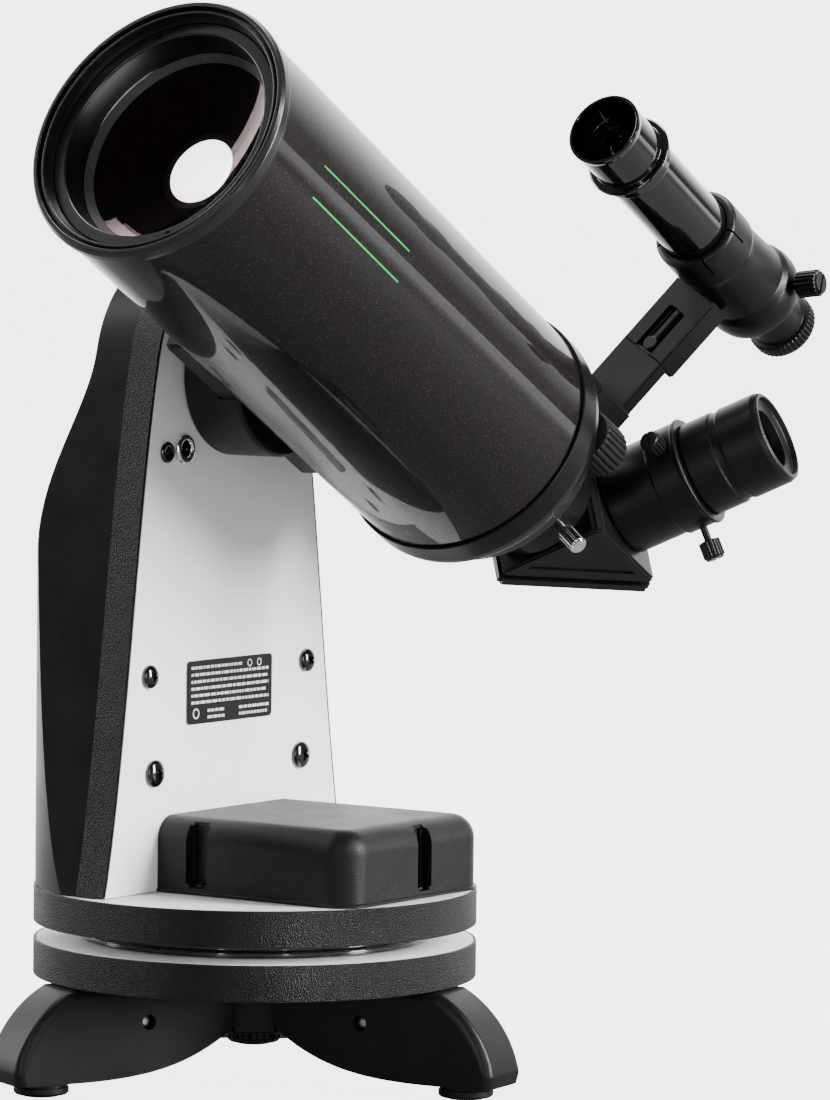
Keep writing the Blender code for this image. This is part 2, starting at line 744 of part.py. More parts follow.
def make_tube(finish, optics):
    """The optical tube, from the front ring to the rear cell, with the optics inside."""
    inside = TUBE_RADIUS - TUBE_WALL
    tube = ring_profile(inside, TUBE_RADIUS, RING_LENGTH + GAP, TUBE_END_TAU)
    solid("telescope_tube", turned(tube, 48), finish["tube_paint"], optics)

    spigot = inside - GAP
    front = [
        (RING_RADIUS, 0.0008),
        (RING_RADIUS, RING_LENGTH),
        (spigot, RING_LENGTH),
        (spigot, 0.0270),
        (0.0366, 0.0270),
        (0.0366, 0.0224),
        (0.0383, 0.0224),
        (0.0383, 0.0078),
        (0.0405, 0.0078),
        (0.0405, 0.0046),
        (0.0418, 0.0),
        (RING_RADIUS - 0.0008, 0.0),
    ]
    solid("front_cell", turned(front, 48), finish["anodised"], optics)
    retaining = [
        (APERTURE_RADIUS + 0.0007, 0.0046),
        (0.0402, 0.0046),
        (0.0402, 0.0075),
        (0.0379, 0.0075),
        (0.0379, 0.0146),
        (APERTURE_RADIUS, 0.0146),
    ]
    solid("retaining_ring", turned(retaining, 36), finish["anodised"], optics)

    front_tau = MENISCUS_REAR_TAU - MENISCUS_THICKNESS
    front_arc = sphere_arc(MENISCUS_RADIUS - 0.0015, MENISCUS_FRONT_CURVE, front_tau)
    rear_arc = sphere_arc(MENISCUS_RADIUS, MENISCUS_REAR_CURVE, MENISCUS_REAR_TAU)
    edge_tau = front_arc[0][1]
    meniscus = [(0, front_tau)] + front_arc[::-1]
    meniscus += [(MENISCUS_RADIUS, edge_tau), *rear_arc, (0, MENISCUS_REAR_TAU)]
    solid("meniscus_lens", turned(meniscus, 32), finish["glass"], optics)
    baffle = ring_profile(0.0134, 0.0144, MENISCUS_REAR_TAU - 0.0008, 0.0413)
    solid("secondary_baffle", turned(baffle, 20), finish["plastic"], optics)

    cell = [
        (spigot, TUBE_END_TAU - 0.006),
        (spigot, TUBE_END_TAU + GAP),
        (RING_RADIUS, TUBE_END_TAU + GAP),
        (RING_RADIUS, REAR_CELL_TAU),
        (0.0445, 0.2135),
        (0.0400, 0.2180),
        (0.0380, 0.2240),
        (0.0360, REAR_FACE_TAU),
        (0.0145, REAR_FACE_TAU),
        (0.0145, 0.2210),
        (0.0330, 0.2190),
        (0.0370, 0.2140),
        (0.0410, 0.2070),
        (0.0410, TUBE_END_TAU - 0.006),
    ]
    rear = solid("rear_cell", turned(cell, 40), finish["anodised"], optics)
    shoe = block((0.028, -0.0125, 0.212), (0.0425, 0.0125, REAR_FACE_TAU + 0.0007))
    addition(rear, "finder_shoe", shoe, rotation=(0, 0, -FINDER_ANGLE))
    spot = (FOCUS_REACH * cos(FOCUS_ANGLE), -FOCUS_REACH * sin(FOCUS_ANGLE), 0)
    cutter(rear, "focus_bore", rod(0.0033, 0.210, 0.230, 16), spot)

    primary_baffle = [
        (0.0125, 0.2208),
        (0.0138, 0.2208),
        (0.0138, 0.2250),
        (0.0120, 0.2250),
        (0.0095, 0.2250),
        (0.0095, 0.1900),
        (0.0075, 0.1150),
        (0.0085, 0.1150),
        (0.0110, 0.1900),
        (0.0125, 0.2000),
    ]
    solid("primary_baffle", turned(primary_baffle, 16), finish["plastic"], optics)


def make_moving_optics(finish, optics):
    """The focusing mirror and the knob that drives it."""
    mirror_axis = empty("mirror_slide", optics)
    mirror = [
        (0.0390, MIRROR_TAU - 0.0045),
        (0.0390, MIRROR_TAU + 0.006),
        (0.0136, MIRROR_TAU + 0.006),
        (0.0136, MIRROR_TAU),
        (0.0260, MIRROR_TAU - 0.0018),
    ]
    solid("primary_mirror", turned(mirror, 32), finish["mirror"], mirror_axis)

    spot = (FOCUS_REACH * cos(FOCUS_ANGLE), -FOCUS_REACH * sin(FOCUS_ANGLE), 0)
    knob_axis = empty("focus_knob_axis", optics, spot)
    knob = [
        (0, 0.206),
        (0.0030, 0.206),
        (0.0030, 0.2262),
        (0.0088, 0.2262),
        (0.0095, 0.2272),
        (0.0095, 0.2395),
        (0.0085, 0.2410),
        (0, 0.2410),
    ]
    solid("focus_knob", turned(knob, 24, ribs=(4, 5)), finish["rubber"], knob_axis)


def make_altitude_head(finish, altitude):
    """The round hub on the arm, its shaft, the dovetail bar in its groove, and the clamp knob."""
    shaft_end = ARM_BACK_X - 0.0115
    hub_end = BAR_X[1] - 0.0002
    profile = [
        (0, shaft_end),
        (ALTITUDE_SHAFT_RADIUS, shaft_end),
        (ALTITUDE_SHAFT_RADIUS, PANEL_X + GAP),
        (ALTITUDE_HUB_RADIUS, PANEL_X + GAP),
        (ALTITUDE_HUB_RADIUS, hub_end - 0.0006),
        (ALTITUDE_HUB_RADIUS - 0.0006, hub_end),
        (0, hub_end),
    ]
    hub = solid("altitude_hub", turned(profile, 36), finish["plastic"], altitude, rotation=LAY_X)
    groove_low = (BAR_X[0] - GAP, -BAR_HALF_WIDTH - GAP, -0.04)
    groove_high = (BAR_X[1] + 0.01, BAR_HALF_WIDTH + GAP, 0.04)
    cutter(hub, "bar_groove", block(groove_low, groove_high))
    middle = (BAR_X[0] + BAR_X[1]) / 2
    screw_hole = rod(0.0022, BAR_HALF_WIDTH - 0.002, 0.034, 12)
    cutter(hub, "clamp_hole", screw_hole, (middle, 0, 0), (pi / 2, 0, 0))

    low = (BAR_X[0], -BAR_HALF_WIDTH, -BAR_FORWARD)
    high = (BAR_X[1], BAR_HALF_WIDTH, BAR_BACKWARD)
    solid("dovetail_bar", block(low, high, 0.0008), finish["anodised"], altitude)
    axis = empty("clamp_axis", altitude, (middle, 0, 0), (pi / 2, 0, 0))
    thumbscrew(
        "clamp_knob",
        finish["plastic"],
        axis,
        (0, 0, 0),
        (0, 0, 0),
        (0.0085, 0.0300, 0.0420),
        (0.0019, BAR_HALF_WIDTH + GAP),
    )


def make_visual_back(finish, optics):
    back = [
        (BACK_RADIUS, REAR_FACE_TAU + GAP),
        (BACK_RADIUS, BACK_END_TAU - 0.0008),
        (BACK_RADIUS - 0.0008, BACK_END_TAU),
        (BARREL_RADIUS + GAP, BACK_END_TAU),
        (BARREL_RADIUS + GAP, REAR_FACE_TAU + 0.003),
        (0.0125, REAR_FACE_TAU + 0.003),
        (0.0125, REAR_FACE_TAU + GAP),
    ]
    port = solid("visual_back", turned(back, 28), finish["anodised"], optics)
    # A radial screw's own Z points outwards at its angle.
    turn = (pi / 2, 0, pi / 2 - BACK_SCREW_ANGLE)
    spot = (0, 0, BACK_SCREW_TAU)
    cutter(port, "back_screw_hole", rod(0.0018, 0.014, 0.024, 12), spot, turn)
    axis = empty("back_screw_axis", optics, spot, turn)
    thumbscrew(
        "visual_back_screw",
        finish["chrome"],
        axis,
        (0, 0, 0),
        (0, 0, 0),
        (0.0031, 0.0255, 0.0345),
        (0.0015, BARREL_RADIUS + GAP),
    )


def make_finder(finish, finder):
    """The finder scope in its bracket: its own Z runs backwards, its X away from the tube."""
    bracket_profile = [
        (0.0137, 0.2205),
        (0.0152, 0.2220),
        (0.0152, 0.2345),
        (0.0143, 0.2365),
        (0.0143, 0.2385),
        (0.0153, 0.2575),
        (0.0166, 0.2595),
        (0.0172, 0.2655),
        (0.0165, 0.2690),
        (0.0140, 0.2690),
        (0.0140, 0.2600),
        (FINDER_RADIUS + GAP, 0.2560),
        (FINDER_RADIUS + GAP, 0.2205),
    ]
    bracket = solid("finder_bracket", turned(bracket_profile, 24), finish["plastic"], finder)
    half = STALK_WIDTH / 2
    neck = -(FINDER_REACH - 0.061)
    foot = -(FINDER_REACH - 0.037)
    upper = block((neck, -half, STALK_TAU), (-0.0132, half, STALK_TAU + 0.010))
    addition(bracket, "stalk_upper", upper)
    lower = block((foot, -half, STALK_TAU), (neck + 0.002, half, STALK_TAU + 0.0058))
    addition(bracket, "stalk_lower", lower)
    shoe_end = -(FINDER_REACH - 0.0425)
    base = block(
        (foot - 0.006, -0.0115, REAR_FACE_TAU + 0.0013), (shoe_end, 0.0115, STALK_TAU + 0.0058)
    )
    addition(bracket, "stalk_foot", base)
    slot = block((-0.0430, -0.0035, STALK_TAU - 0.001), (-0.0230, 0.0035, STALK_TAU + 0.0025))
    cutter(bracket, "latch_slot", slot)

    body = [
        (0.0130, 0.1540),
        (0.0130, 0.1556),
        (0.0126, 0.1566),
        (0.0126, 0.1715),
        (0.0150, 0.1715),
        (0.0150, 0.1727),
        (0.0134, 0.1732),
        (0.0132, 0.1775),
        (FINDER_RADIUS, 0.1785),
        (FINDER_RADIUS, 0.2720),
        (0.0105, 0.2750),
        (0.0080, 0.2750),
        (0.0108, 0.2700),
        (0.0108, 0.1700),
        (0.0119, 0.1640),
        (0.0119, 0.1540),
    ]
    solid("finder_tube", turned(body, 24), finish["anodised"], finder)
    lens = [
        (0, 0.1690),
        (0.0060, 0.1694),
        (0.0104, 0.1708),
        (0.0104, 0.1730),
        (0, 0.1730),
    ]
    solid("finder_lens", turned(lens, 16), finish["glass"], finder)

    eyepiece = [
        (0.0092, 0.2753),
        (0.0100, 0.2850),
        (0.0120, 0.2856),
        (0.0120, 0.2904),
        (0.0110, 0.2914),
        (0.0052, 0.2914),
        (0.0045, 0.2885),
        (0.0045, 0.2650),
        (0.0076, 0.2650),
        (0.0076, 0.2753),
    ]
    axis = empty("finder_focus_axis", finder)
    solid("finder_eyepiece", turned(eyepiece, 24, ribs=(2, 3)), finish["plastic"], axis)

    for number, angle in enumerate((radians(-52), radians(68)), 1):
        turn = (pi / 2, 0, pi / 2 - angle)
        spot = (0, 0, 0.2640)
        hole = rod(0.0017, 0.011, 0.02, 12)
        cutter(bracket, f"finder_screw_hole_{number}", hole, spot, turn)
        axis = empty(f"finder_screw_axis_{number}", finder, spot, turn)
        thumbscrew(
            f"finder_screw_{number}",
            finish["plastic"],
            axis,
            (0, 0, 0),
            (0, 0, 0),
            (0.0047, 0.0190, 0.0275),
            (0.0014, FINDER_RADIUS + GAP),
        )


def diagonal_outline(half_leg):
    """The prism housing's side view as (x, z): X along the eyepiece, Z backwards."""
    cut = 0.0025
    return [
        (half_leg, -half_leg + cut),
        (half_leg, half_leg - cut),
        (half_leg - cut, half_leg - cut),
        (-half_leg + cut, -half_leg + cut),
        (-half_leg + cut, -half_leg),
        (half_leg - cut, -half_leg),
    ]


def make_diagonal(finish, swivel):
    """The star diagonal: its own X is the eyepiece's axis and its Z runs backwards."""
    wide = DIAGONAL_HALF_WIDTH
    leg = DIAGONAL_HALF_LEG
    outline = diagonal_outline(leg)
    rings = [[(x, y, z) for x, z in outline] for y in (-wide, wide)]
    body = solid("diagonal_body", loft(rings), finish["plastic"], swivel)
    nose = rod(BARREL_RADIUS, REAR_FACE_TAU + 0.0045 - DIAGONAL_TAU, -leg + 0.002, 28)
    addition(body, "diagonal_nose", nose)
    entrance = rod(0.0142, REAR_FACE_TAU + 0.003 - DIAGONAL_TAU, 0.02, 24)
    cutter(body, "entrance_bore", entrance)
    cutter(body, "exit_bore", rod(0.0150, 0.0, 0.03, 24), rotation=LAY_X)

    # The mirror and the back cover lie along the slope, their own X pointing out of it.
    slope = (0, -3 * pi / 4, 0)
    mirror = block((GAP, -0.0165, -0.0235), (0.0033, 0.0165, 0.0235), 0.0005)
    solid("diagonal_mirror", mirror, finish["mirror"], swivel, rotation=slope)
    plate = block((GAP, -wide, -0.0275), (0.0062, wide, 0.0275), 0.0010)
    cover = solid("diagonal_back_cover", plate, finish["plastic"], swivel, rotation=slope)
    pocket = block((-0.001, -0.0168, -0.0238), (0.0036, 0.0168, 0.0238))
    cutter(cover, "mirror_pocket", pocket, rotation=slope)

    eyepiece_axis = empty("eyepiece_axis", swivel, (0, 0, 0), LAY_X)
    bore = BARREL_RADIUS + GAP
    holder = [
        (0.0179, leg + GAP),
        (0.0179, 0.0404),
        (0.0187, 0.0408),
        (0.0187, 0.0505),
        (0.0192, 0.0510),
        (0.0192, 0.0521),
        (bore, 0.0521),
        (bore, 0.0265),
        (0.0150, 0.0265),
        (0.0150, leg + GAP),
    ]
    tube = solid("eyepiece_holder", turned(holder, 28), finish["anodised"], eyepiece_axis)
    for number, (angle, reach) in enumerate(HOLDER_SCREWS, 1):
        # The screw's own Z points outwards; the angle runs from the holder's -Y towards its +X.
        turn = (pi / 2, 0, angle)
        spot = (0, 0, COLLAR_REACH)
        cutter(tube, f"holder_screw_hole_{number}", rod(0.0016, 0.014, 0.021, 12), spot, turn)
        axis = empty(f"holder_screw_axis_{number}", eyepiece_axis, spot, turn)
        thumbscrew(
            f"holder_screw_{number}",
            finish["plastic"],
            axis,
            (0, 0, 0),
            (0, 0, 0),
            (0.0038, reach, reach + 0.0065),
            (0.0013, bore),
        )
    make_eyepiece(finish, eyepiece_axis)


def make_eyepiece(finish, axis):
    slide = empty("eyepiece_slide", axis)
    body = [
        (BARREL_RADIUS, 0.0270),
        (BARREL_RADIUS, 0.0524),
        (0.0166, 0.0524),
        (0.0166, 0.0640),
        (0.0159, 0.0645),
        (0.0159, 0.0662),
        (0.0164, 0.0668),
        (0.0165, EYEPIECE_END - 0.0010),
        (0.0155, EYEPIECE_END),
        (0.0142, EYEPIECE_END),
        (0.0138, EYEPIECE_END - 0.0018),
        (0.0105, EYEPIECE_END - 0.0018),
        (0.0098, EYEPIECE_END - 0.0060),
        (0.0140, 0.0740),
        (0.0140, 0.0270),
    ]
    solid("eyepiece_body", turned(body, 28), finish["plastic"], slide)
    lens = [
        (0, 0.0675),
        (0.0130, 0.0690),
        (0.0130, 0.0735),
        (0.0080, 0.0740),
        (0, 0.0745),
    ]
    solid("eyepiece_lens", turned(lens, 16), finish["glass"], slide)


def centre_on_floor(root):
    """Moves the root so that the origin is under the middle of the bounding box."""
    bpy.context.view_layer.update()
    graph = bpy.context.evaluated_depsgraph_get()
    low = Vector((1, 1, 1))
    high = Vector((-1, -1, -1))
    for obj in bpy.data.objects:
        if obj.type != "MESH" or obj.hide_render:
            continue
        shape = obj.evaluated_get(graph)
        mesh = shape.to_mesh()
        for vertex in mesh.vertices:
            point = shape.matrix_world @ vertex.co
            low = Vector(map(min, low, point))
            high = Vector(map(max, high, point))
        shape.to_mesh_clear()
    root.location = (-(low.x + high.x) / 2, -(low.y + high.y) / 2, -low.z)
    bpy.context.view_layer.update()


def main():
    clear_scene()
    finish = make_materials()
    root = empty("telescope")
    platform = empty("azimuth_axis", root)
    altitude = empty(
        "altitude_axis", platform, (0, 0, ALTITUDE_HEIGHT), (-(pi / 2 + REST_ALTITUDE), 0, 0)
    )
    optics = empty("optical_axis", altitude, (TUBE_OFFSET, -TUBE_RISE, -FRONT_REACH))
    make_stand(finish, root)
    make_platform(finish, platform)
    make_arm(finish, platform)
    make_gears(finish, platform, altitude)
    make_altitude_head(finish, altitude)
    make_tube(finish, optics)
    make_moving_optics(finish, optics)
    make_visual_back(finish, optics)
    spot = (FINDER_REACH * cos(FINDER_ANGLE), -FINDER_REACH * sin(FINDER_ANGLE), 0)
    finder = empty("finder_axis", optics, spot, (0, 0, -FINDER_ANGLE))
    make_finder(finish, finder)
    swivel = empty("diagonal_swivel", optics, (0, 0, DIAGONAL_TAU), (0, 0, -DIAGONAL_ANGLE))
    make_diagonal(finish, swivel)
    centre_on_floor(root)


main()
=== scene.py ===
"""The looks of a table-top Maksutov telescope on a single-arm motorised mount, in metres."""

import json
import random
from math import cos, pi, radians, sin, sqrt

import bmesh
import bpy
from mathutils import Matrix, Vector
from mathutils.geometry import interpolate_bezier


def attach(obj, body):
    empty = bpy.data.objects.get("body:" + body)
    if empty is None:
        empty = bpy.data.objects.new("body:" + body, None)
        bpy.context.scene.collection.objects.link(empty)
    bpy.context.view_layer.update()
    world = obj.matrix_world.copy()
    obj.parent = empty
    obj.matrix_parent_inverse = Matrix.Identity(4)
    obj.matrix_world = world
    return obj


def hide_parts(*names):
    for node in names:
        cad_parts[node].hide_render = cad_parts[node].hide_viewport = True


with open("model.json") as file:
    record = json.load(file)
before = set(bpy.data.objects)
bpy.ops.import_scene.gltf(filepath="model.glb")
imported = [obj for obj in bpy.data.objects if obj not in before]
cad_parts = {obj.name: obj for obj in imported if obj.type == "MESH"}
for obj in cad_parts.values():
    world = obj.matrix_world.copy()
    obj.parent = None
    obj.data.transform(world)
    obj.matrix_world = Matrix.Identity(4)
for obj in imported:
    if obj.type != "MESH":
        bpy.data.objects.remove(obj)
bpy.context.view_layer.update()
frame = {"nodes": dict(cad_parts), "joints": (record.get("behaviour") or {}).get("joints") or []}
joint = {j["name"]: j for j in frame["joints"]}

GAP = 0.0003  # between pieces that touch

# Boards and legs
PANEL_X = -0.012
BACK_X = -0.024
BOARD_BOTTOM = 0.0361
BOARD = 0.0122
BASE_TOP = BOARD_BOTTOM + BOARD
TURN_BOTTOM = BASE_TOP + 0.0057
DECK = TURN_BOTTOM + BOARD
DISC = 0.075
BAND = 0.001
BAND_FIT = 0.0001
PIVOT_HOLE = 0.0053
HUB_HALF_FLAT = 0.0134
LEG_HEADINGS = (6, 126, 246)
LEG_TIP = 0.0966
LEG_ROOT = 0.0140
LEG_HALF_WIDTH = 0.0115
LEG_ROUNDING = 0.0032
FOOT_REACH = 0.0815

# Arm, with heights above the deck
ARCH_R = 0.0415
ARCH_Z = 0.172
ARCH_START = radians(12.1)
HOUSING_R = 0.0745
HOUSING_TOP_X = -0.039
HOUSING_TAPER = (0.113, 0.180)
WALL = 0.0022
PANEL_SCREWS = ((0.0449, 0.0725, 0.0040), (0.0418, 0.0399, 0.00465))  # half spacing, height, radius
JACK_SPOT = (-0.0269, 0.1477)
PLUG_SPOT = (-0.0364, 0.1470)
LABEL_Z = 0.0656

# Optics; a tau is a distance behind the front ring's face
REST = radians(29.75)
FINDER_ANGLE = radians(60)
FINDER_REACH = 0.1034
DIAGONAL_ANGLE = radians(28.6)
DIAGONAL_TAU = 0.275
PRISM_HALF = 0.021
TUBE_R = 0.0449
TUBE_WALL = 0.0013
RING_R = 0.0460
LENS_TAU = (0.0244, 0.0309)
LENS_CURVE = (0.075, 0.077)
SPOT_R = 0.0118
FOCUS_REACH = 0.0324
FOCUS_ANGLE = radians(22.6)
BARREL = 0.01587
EYE_END = 0.0826

# Places: each matrix takes a piece's own frame to the row frame.
AXIS = Vector(joint["azimuth"]["pos_m"])
STAND = Matrix.Translation((AXIS.x, AXIS.y, 0))
HEAD = Matrix.Translation(joint["altitude"]["pos_m"]) @ Matrix.Rotation(-(pi / 2 + REST), 4, "X")
OPTICS = HEAD @ Matrix.Translation((0.0567, -0.0039, -0.1578))
FINDER = (
    OPTICS
    @ Matrix.Translation((FINDER_REACH * cos(FINDER_ANGLE), -FINDER_REACH * sin(FINDER_ANGLE), 0))
    @ Matrix.Rotation(-FINDER_ANGLE, 4, "Z")
)
SWIVEL = OPTICS @ Matrix.Translation((0, 0, DIAGONAL_TAU)) @ Matrix.Rotation(-DIAGONAL_ANGLE, 4, "Z")
ALONG_X = Matrix.Rotation(pi / 2, 4, "Y")
EYE = SWIVEL @ ALONG_X


# ---------------------------------------------------------------- materials


def nodes_of(name):
    made = bpy.data.materials.new(name)
    made.use_nodes = True
    tree = made.node_tree
    return made, tree, tree.nodes["Principled BSDF"]


def noise(tree, scale, detail=4.0, rough=0.6, stretch=(1, 1, 1)):
    where = tree.nodes.new("ShaderNodeTexCoord")
    spread = tree.nodes.new("ShaderNodeMapping")
    spread.inputs["Scale"].default_value = stretch
    texture = tree.nodes.new("ShaderNodeTexNoise")
    texture.inputs["Scale"].default_value = scale
    texture.inputs["Detail"].default_value = detail
    texture.inputs["Roughness"].default_value = rough
    tree.links.new(where.outputs["Object"], spread.inputs["Vector"])
    tree.links.new(spread.outputs["Vector"], texture.inputs["Vector"])
    return texture.outputs[0]


def cells(tree, scale, stretch=(1, 1, 1)):
    where = tree.nodes.new("ShaderNodeTexCoord")
    spread = tree.nodes.new("ShaderNodeMapping")
    spread.inputs["Scale"].default_value = stretch
    texture = tree.nodes.new("ShaderNodeTexVoronoi")
    texture.inputs["Scale"].default_value = scale
    tree.links.new(where.outputs["Object"], spread.inputs["Vector"])
    tree.links.new(spread.outputs["Vector"], texture.inputs["Vector"])
    return texture


def ramp(tree, value, low, high, out_low, out_high):
    scaled = tree.nodes.new("ShaderNodeMapRange")
    scaled.inputs["From Min"].default_value = low
    scaled.inputs["From Max"].default_value = high
    scaled.inputs["To Min"].default_value = out_low
    scaled.inputs["To Max"].default_value = out_high
    tree.links.new(value, scaled.inputs["Value"])
    return scaled.outputs["Result"]


def blend(tree, value, first, second, low=0.3, high=0.7):
    colours = tree.nodes.new("ShaderNodeValToRGB")
    colours.color_ramp.elements[0].position = low
    colours.color_ramp.elements[0].color = (*first, 1)
    colours.color_ramp.elements[1].position = high
    colours.color_ramp.elements[1].color = (*second, 1)
    tree.links.new(value, colours.inputs["Fac"])
    return colours.outputs["Color"]


def bump(tree, value, strength, distance, before=None):
    made = tree.nodes.new("ShaderNodeBump")
    made.inputs["Strength"].default_value = strength
    made.inputs["Distance"].default_value = distance
    tree.links.new(value, made.inputs["Height"])
    if before:
        tree.links.new(before, made.inputs["Normal"])
    return made.outputs["Normal"]


def finish(
    name, dark, light, rough, patch=60.0, grain=3000.0, depth=(0.15, 0.00006), metallic=0.0,
    coat=0.0, coat_rough=0.05, specular=0.22, stretch=(1, 1, 1), pebble=None, smudge=40.0,
):
    """A varied surface: patches of two colours, uneven gloss, and grain in relief."""
    made, tree, shader = nodes_of(name)
    link = tree.links.new
    link(blend(tree, noise(tree, patch, 5.0), dark, light), shader.inputs["Base Color"])
    gloss = ramp(tree, noise(tree, smudge, 6.0, 0.65, stretch), 0.3, 0.7, *rough)
    link(gloss, shader.inputs["Roughness"])
    normal = bump(tree, noise(tree, grain, 3.0, 0.6, stretch), *depth)
    if pebble:
        scale, strength, distance = pebble
        normal = bump(tree, cells(tree, scale).outputs["Distance"], strength, distance, normal)
    link(normal, shader.inputs["Normal"])
    shader.inputs["Metallic"].default_value = metallic
    shader.inputs["Coat Weight"].default_value = coat
    shader.inputs["Coat Roughness"].default_value = coat_rough
    shader.inputs["Specular IOR Level"].default_value = specular
    return made


def flake_paint():
    """Near-black paint with fine brown flakes under a clear coat."""
    made, tree, shader = nodes_of("tube paint")
    link = tree.links.new
    flakes = cells(tree, 3600.0)
    spark = ramp(tree, flakes.outputs["Color"], 0.80, 1.0, 0.0, 1.0)
    colour = blend(tree, spark, (0.0034, 0.0025, 0.0022), (0.070, 0.050, 0.040), 0.0, 1.0)
    link(colour, shader.inputs["Base Color"])
    link(ramp(tree, noise(tree, 900.0), 0.3, 0.7, 0.34, 0.52), shader.inputs["Roughness"])
    peel = bump(tree, noise(tree, 320.0, 2.0), 0.05, 0.00005)
    link(bump(tree, flakes.outputs["Distance"], 0.25, 0.00008), shader.inputs["Normal"])
    link(peel, shader.inputs["Coat Normal"])
    shader.inputs["Metallic"].default_value = 0.25
    shader.inputs["Specular IOR Level"].default_value = 0.08
    shader.inputs["Coat Weight"].default_value = 0.6
    shader.inputs["Coat Roughness"].default_value = 0.03
    shader.inputs["Coat IOR"].default_value = 1.5
    return made


def coated_glass(name, tint, reflect, refraction=1.5):
    made, tree, shader = nodes_of(name)
    link = tree.links.new
    link(blend(tree, noise(tree, 25.0, 3.0), tint, [0.9 * c for c in tint]), shader.inputs["Base Color"])
    link(ramp(tree, noise(tree, 150.0, 4.0), 0.3, 0.7, 0.0, 0.02), shader.inputs["Roughness"])
    shader.inputs["Transmission Weight"].default_value = 1.0
    shader.inputs["IOR"].default_value = refraction
    shader.inputs["Specular Tint"].default_value = (*reflect, 1)
    return made


# Strength of the painted glow on the aluminised spot: emission that stands in for the bright reflection in
# the mirrored spot.
SPOT_PAINTED_GLOW = 4.2
BLACK = ((0.0030, 0.0030, 0.0032), (0.0055, 0.0055, 0.0057))
laminate = finish(
    "white laminate", (0.86, 0.86, 0.855), (0.90, 0.90, 0.895), (0.34, 0.46), 35.0, 2500.0, (0.10, 0.00004)
)
edging = finish(
    "pebbled edging", (0.0025, 0.0025, 0.0027), (0.0065, 0.0065, 0.0068), (0.30, 0.46), 900.0, 2600.0,
    (0.30, 0.00012), pebble=(2300.0, 0.9, 0.00032),
)
satin = finish("satin plastic", *BLACK, (0.30, 0.42), 70.0, 4200.0, (0.22, 0.00006))
grained = finish(
    "grained plastic", *BLACK, (0.36, 0.48), 200.0, 3800.0, (0.35, 0.00012), pebble=(2300.0, 0.45, 0.00018)
)
leg_plastic = finish("leg plastic", *BLACK, (0.34, 0.46), 90.0, 4200.0, (0.22, 0.00007))
gloss = finish(
    "gloss black", (0.0020, 0.0020, 0.0021), (0.0035, 0.0035, 0.0037), (0.10, 0.18), 90.0, 1500.0,
    (0.05, 0.00003), coat=1.0, coat_rough=0.03,
)
anodised = finish(
    "black anodised", (0.0028, 0.0028, 0.0030), (0.0050, 0.0050, 0.0052), (0.24, 0.34), 60.0, 3500.0,
    (0.14, 0.00004), metallic=0.1,
)
turned_black = finish(
    "turned black", (0.0028, 0.0028, 0.0030), (0.0050, 0.0050, 0.0052), (0.24, 0.34), 60.0, 900.0,
    (0.16, 0.00004), metallic=0.1, stretch=(0.08, 0.08, 5.0),
)
ring_black = finish(
    "ring black", (0.0040, 0.0040, 0.0042), (0.0070, 0.0070, 0.0072), (0.20, 0.30), 60.0, 900.0,
    (0.14, 0.00004), metallic=0.1, specular=0.6, stretch=(0.08, 0.08, 5.0),
)
flat_black = finish("flat black", (0.003, 0.003, 0.003), (0.006, 0.006, 0.006), (0.75, 0.9), 200.0)
grey_plastic = finish(
    "hub plastic", (0.008, 0.008, 0.0083), (0.013, 0.013, 0.0133), (0.36, 0.46), 60.0, 3500.0
)
rubber = finish(
    "rubber", (0.0035, 0.0035, 0.0035), (0.0065, 0.0065, 0.0065), (0.48, 0.62), 150.0, 2400.0, (0.3, 0.00012)
)
foot_rubber = finish(
    "foot rubber", (0.005, 0.005, 0.005), (0.010, 0.010, 0.010), (0.45, 0.60), 200.0, 2000.0, (0.3, 0.00015)
)
chrome = finish(
    "chrome", (0.66, 0.66, 0.66), (0.80, 0.80, 0.80), (0.08, 0.20), 300.0, 1500.0, (0.06, 0.00003), 1.0
)
steel = finish("steel", (0.36, 0.36, 0.37), (0.50, 0.50, 0.50), (0.28, 0.42), 200.0, 2500.0, metallic=1.0)
brass = finish("brass", (0.55, 0.38, 0.14), (0.72, 0.52, 0.24), (0.25, 0.40), 200.0, 2500.0, metallic=1.0)
acetal = finish("black acetal", (0.014, 0.014, 0.014), (0.022, 0.022, 0.022), (0.35, 0.50), 120.0)
circuit = finish("circuit board", (0.012, 0.10, 0.045), (0.02, 0.17, 0.07), (0.30, 0.50), 500.0)
sleeve = finish("battery sleeve", (0.06, 0.06, 0.08), (0.12, 0.12, 0.14), (0.30, 0.45), 120.0)
silvered = finish("mirror coating", (0.84, 0.84, 0.84), (0.90, 0.90, 0.90), (0.02, 0.05), 60.0, metallic=1.0)
spot_with_painted_glow = finish(
    "aluminised spot with painted glow", (0.93, 0.93, 0.93), (0.98, 0.98, 0.98), (0.25, 0.35), 80.0, metallic=0.6
)
green_paint = finish("green print", (0.010, 0.26, 0.045), (0.015, 0.33, 0.07), (0.3, 0.4), 300.0)
print_white = finish("white print", (0.55, 0.55, 0.55), (0.70, 0.70, 0.70), (0.4, 0.5), 800.0)
label_black = finish(
    "label foil", (0.0022, 0.0022, 0.0022), (0.0040, 0.0040, 0.0040), (0.22, 0.34),
    120.0, 2500.0, (0.1, 0.00003)
)
ground = finish("ground edge", (0.030, 0.030, 0.030), (0.050, 0.050, 0.050), (0.4, 0.55), 500.0)
tube_paint = flake_paint()
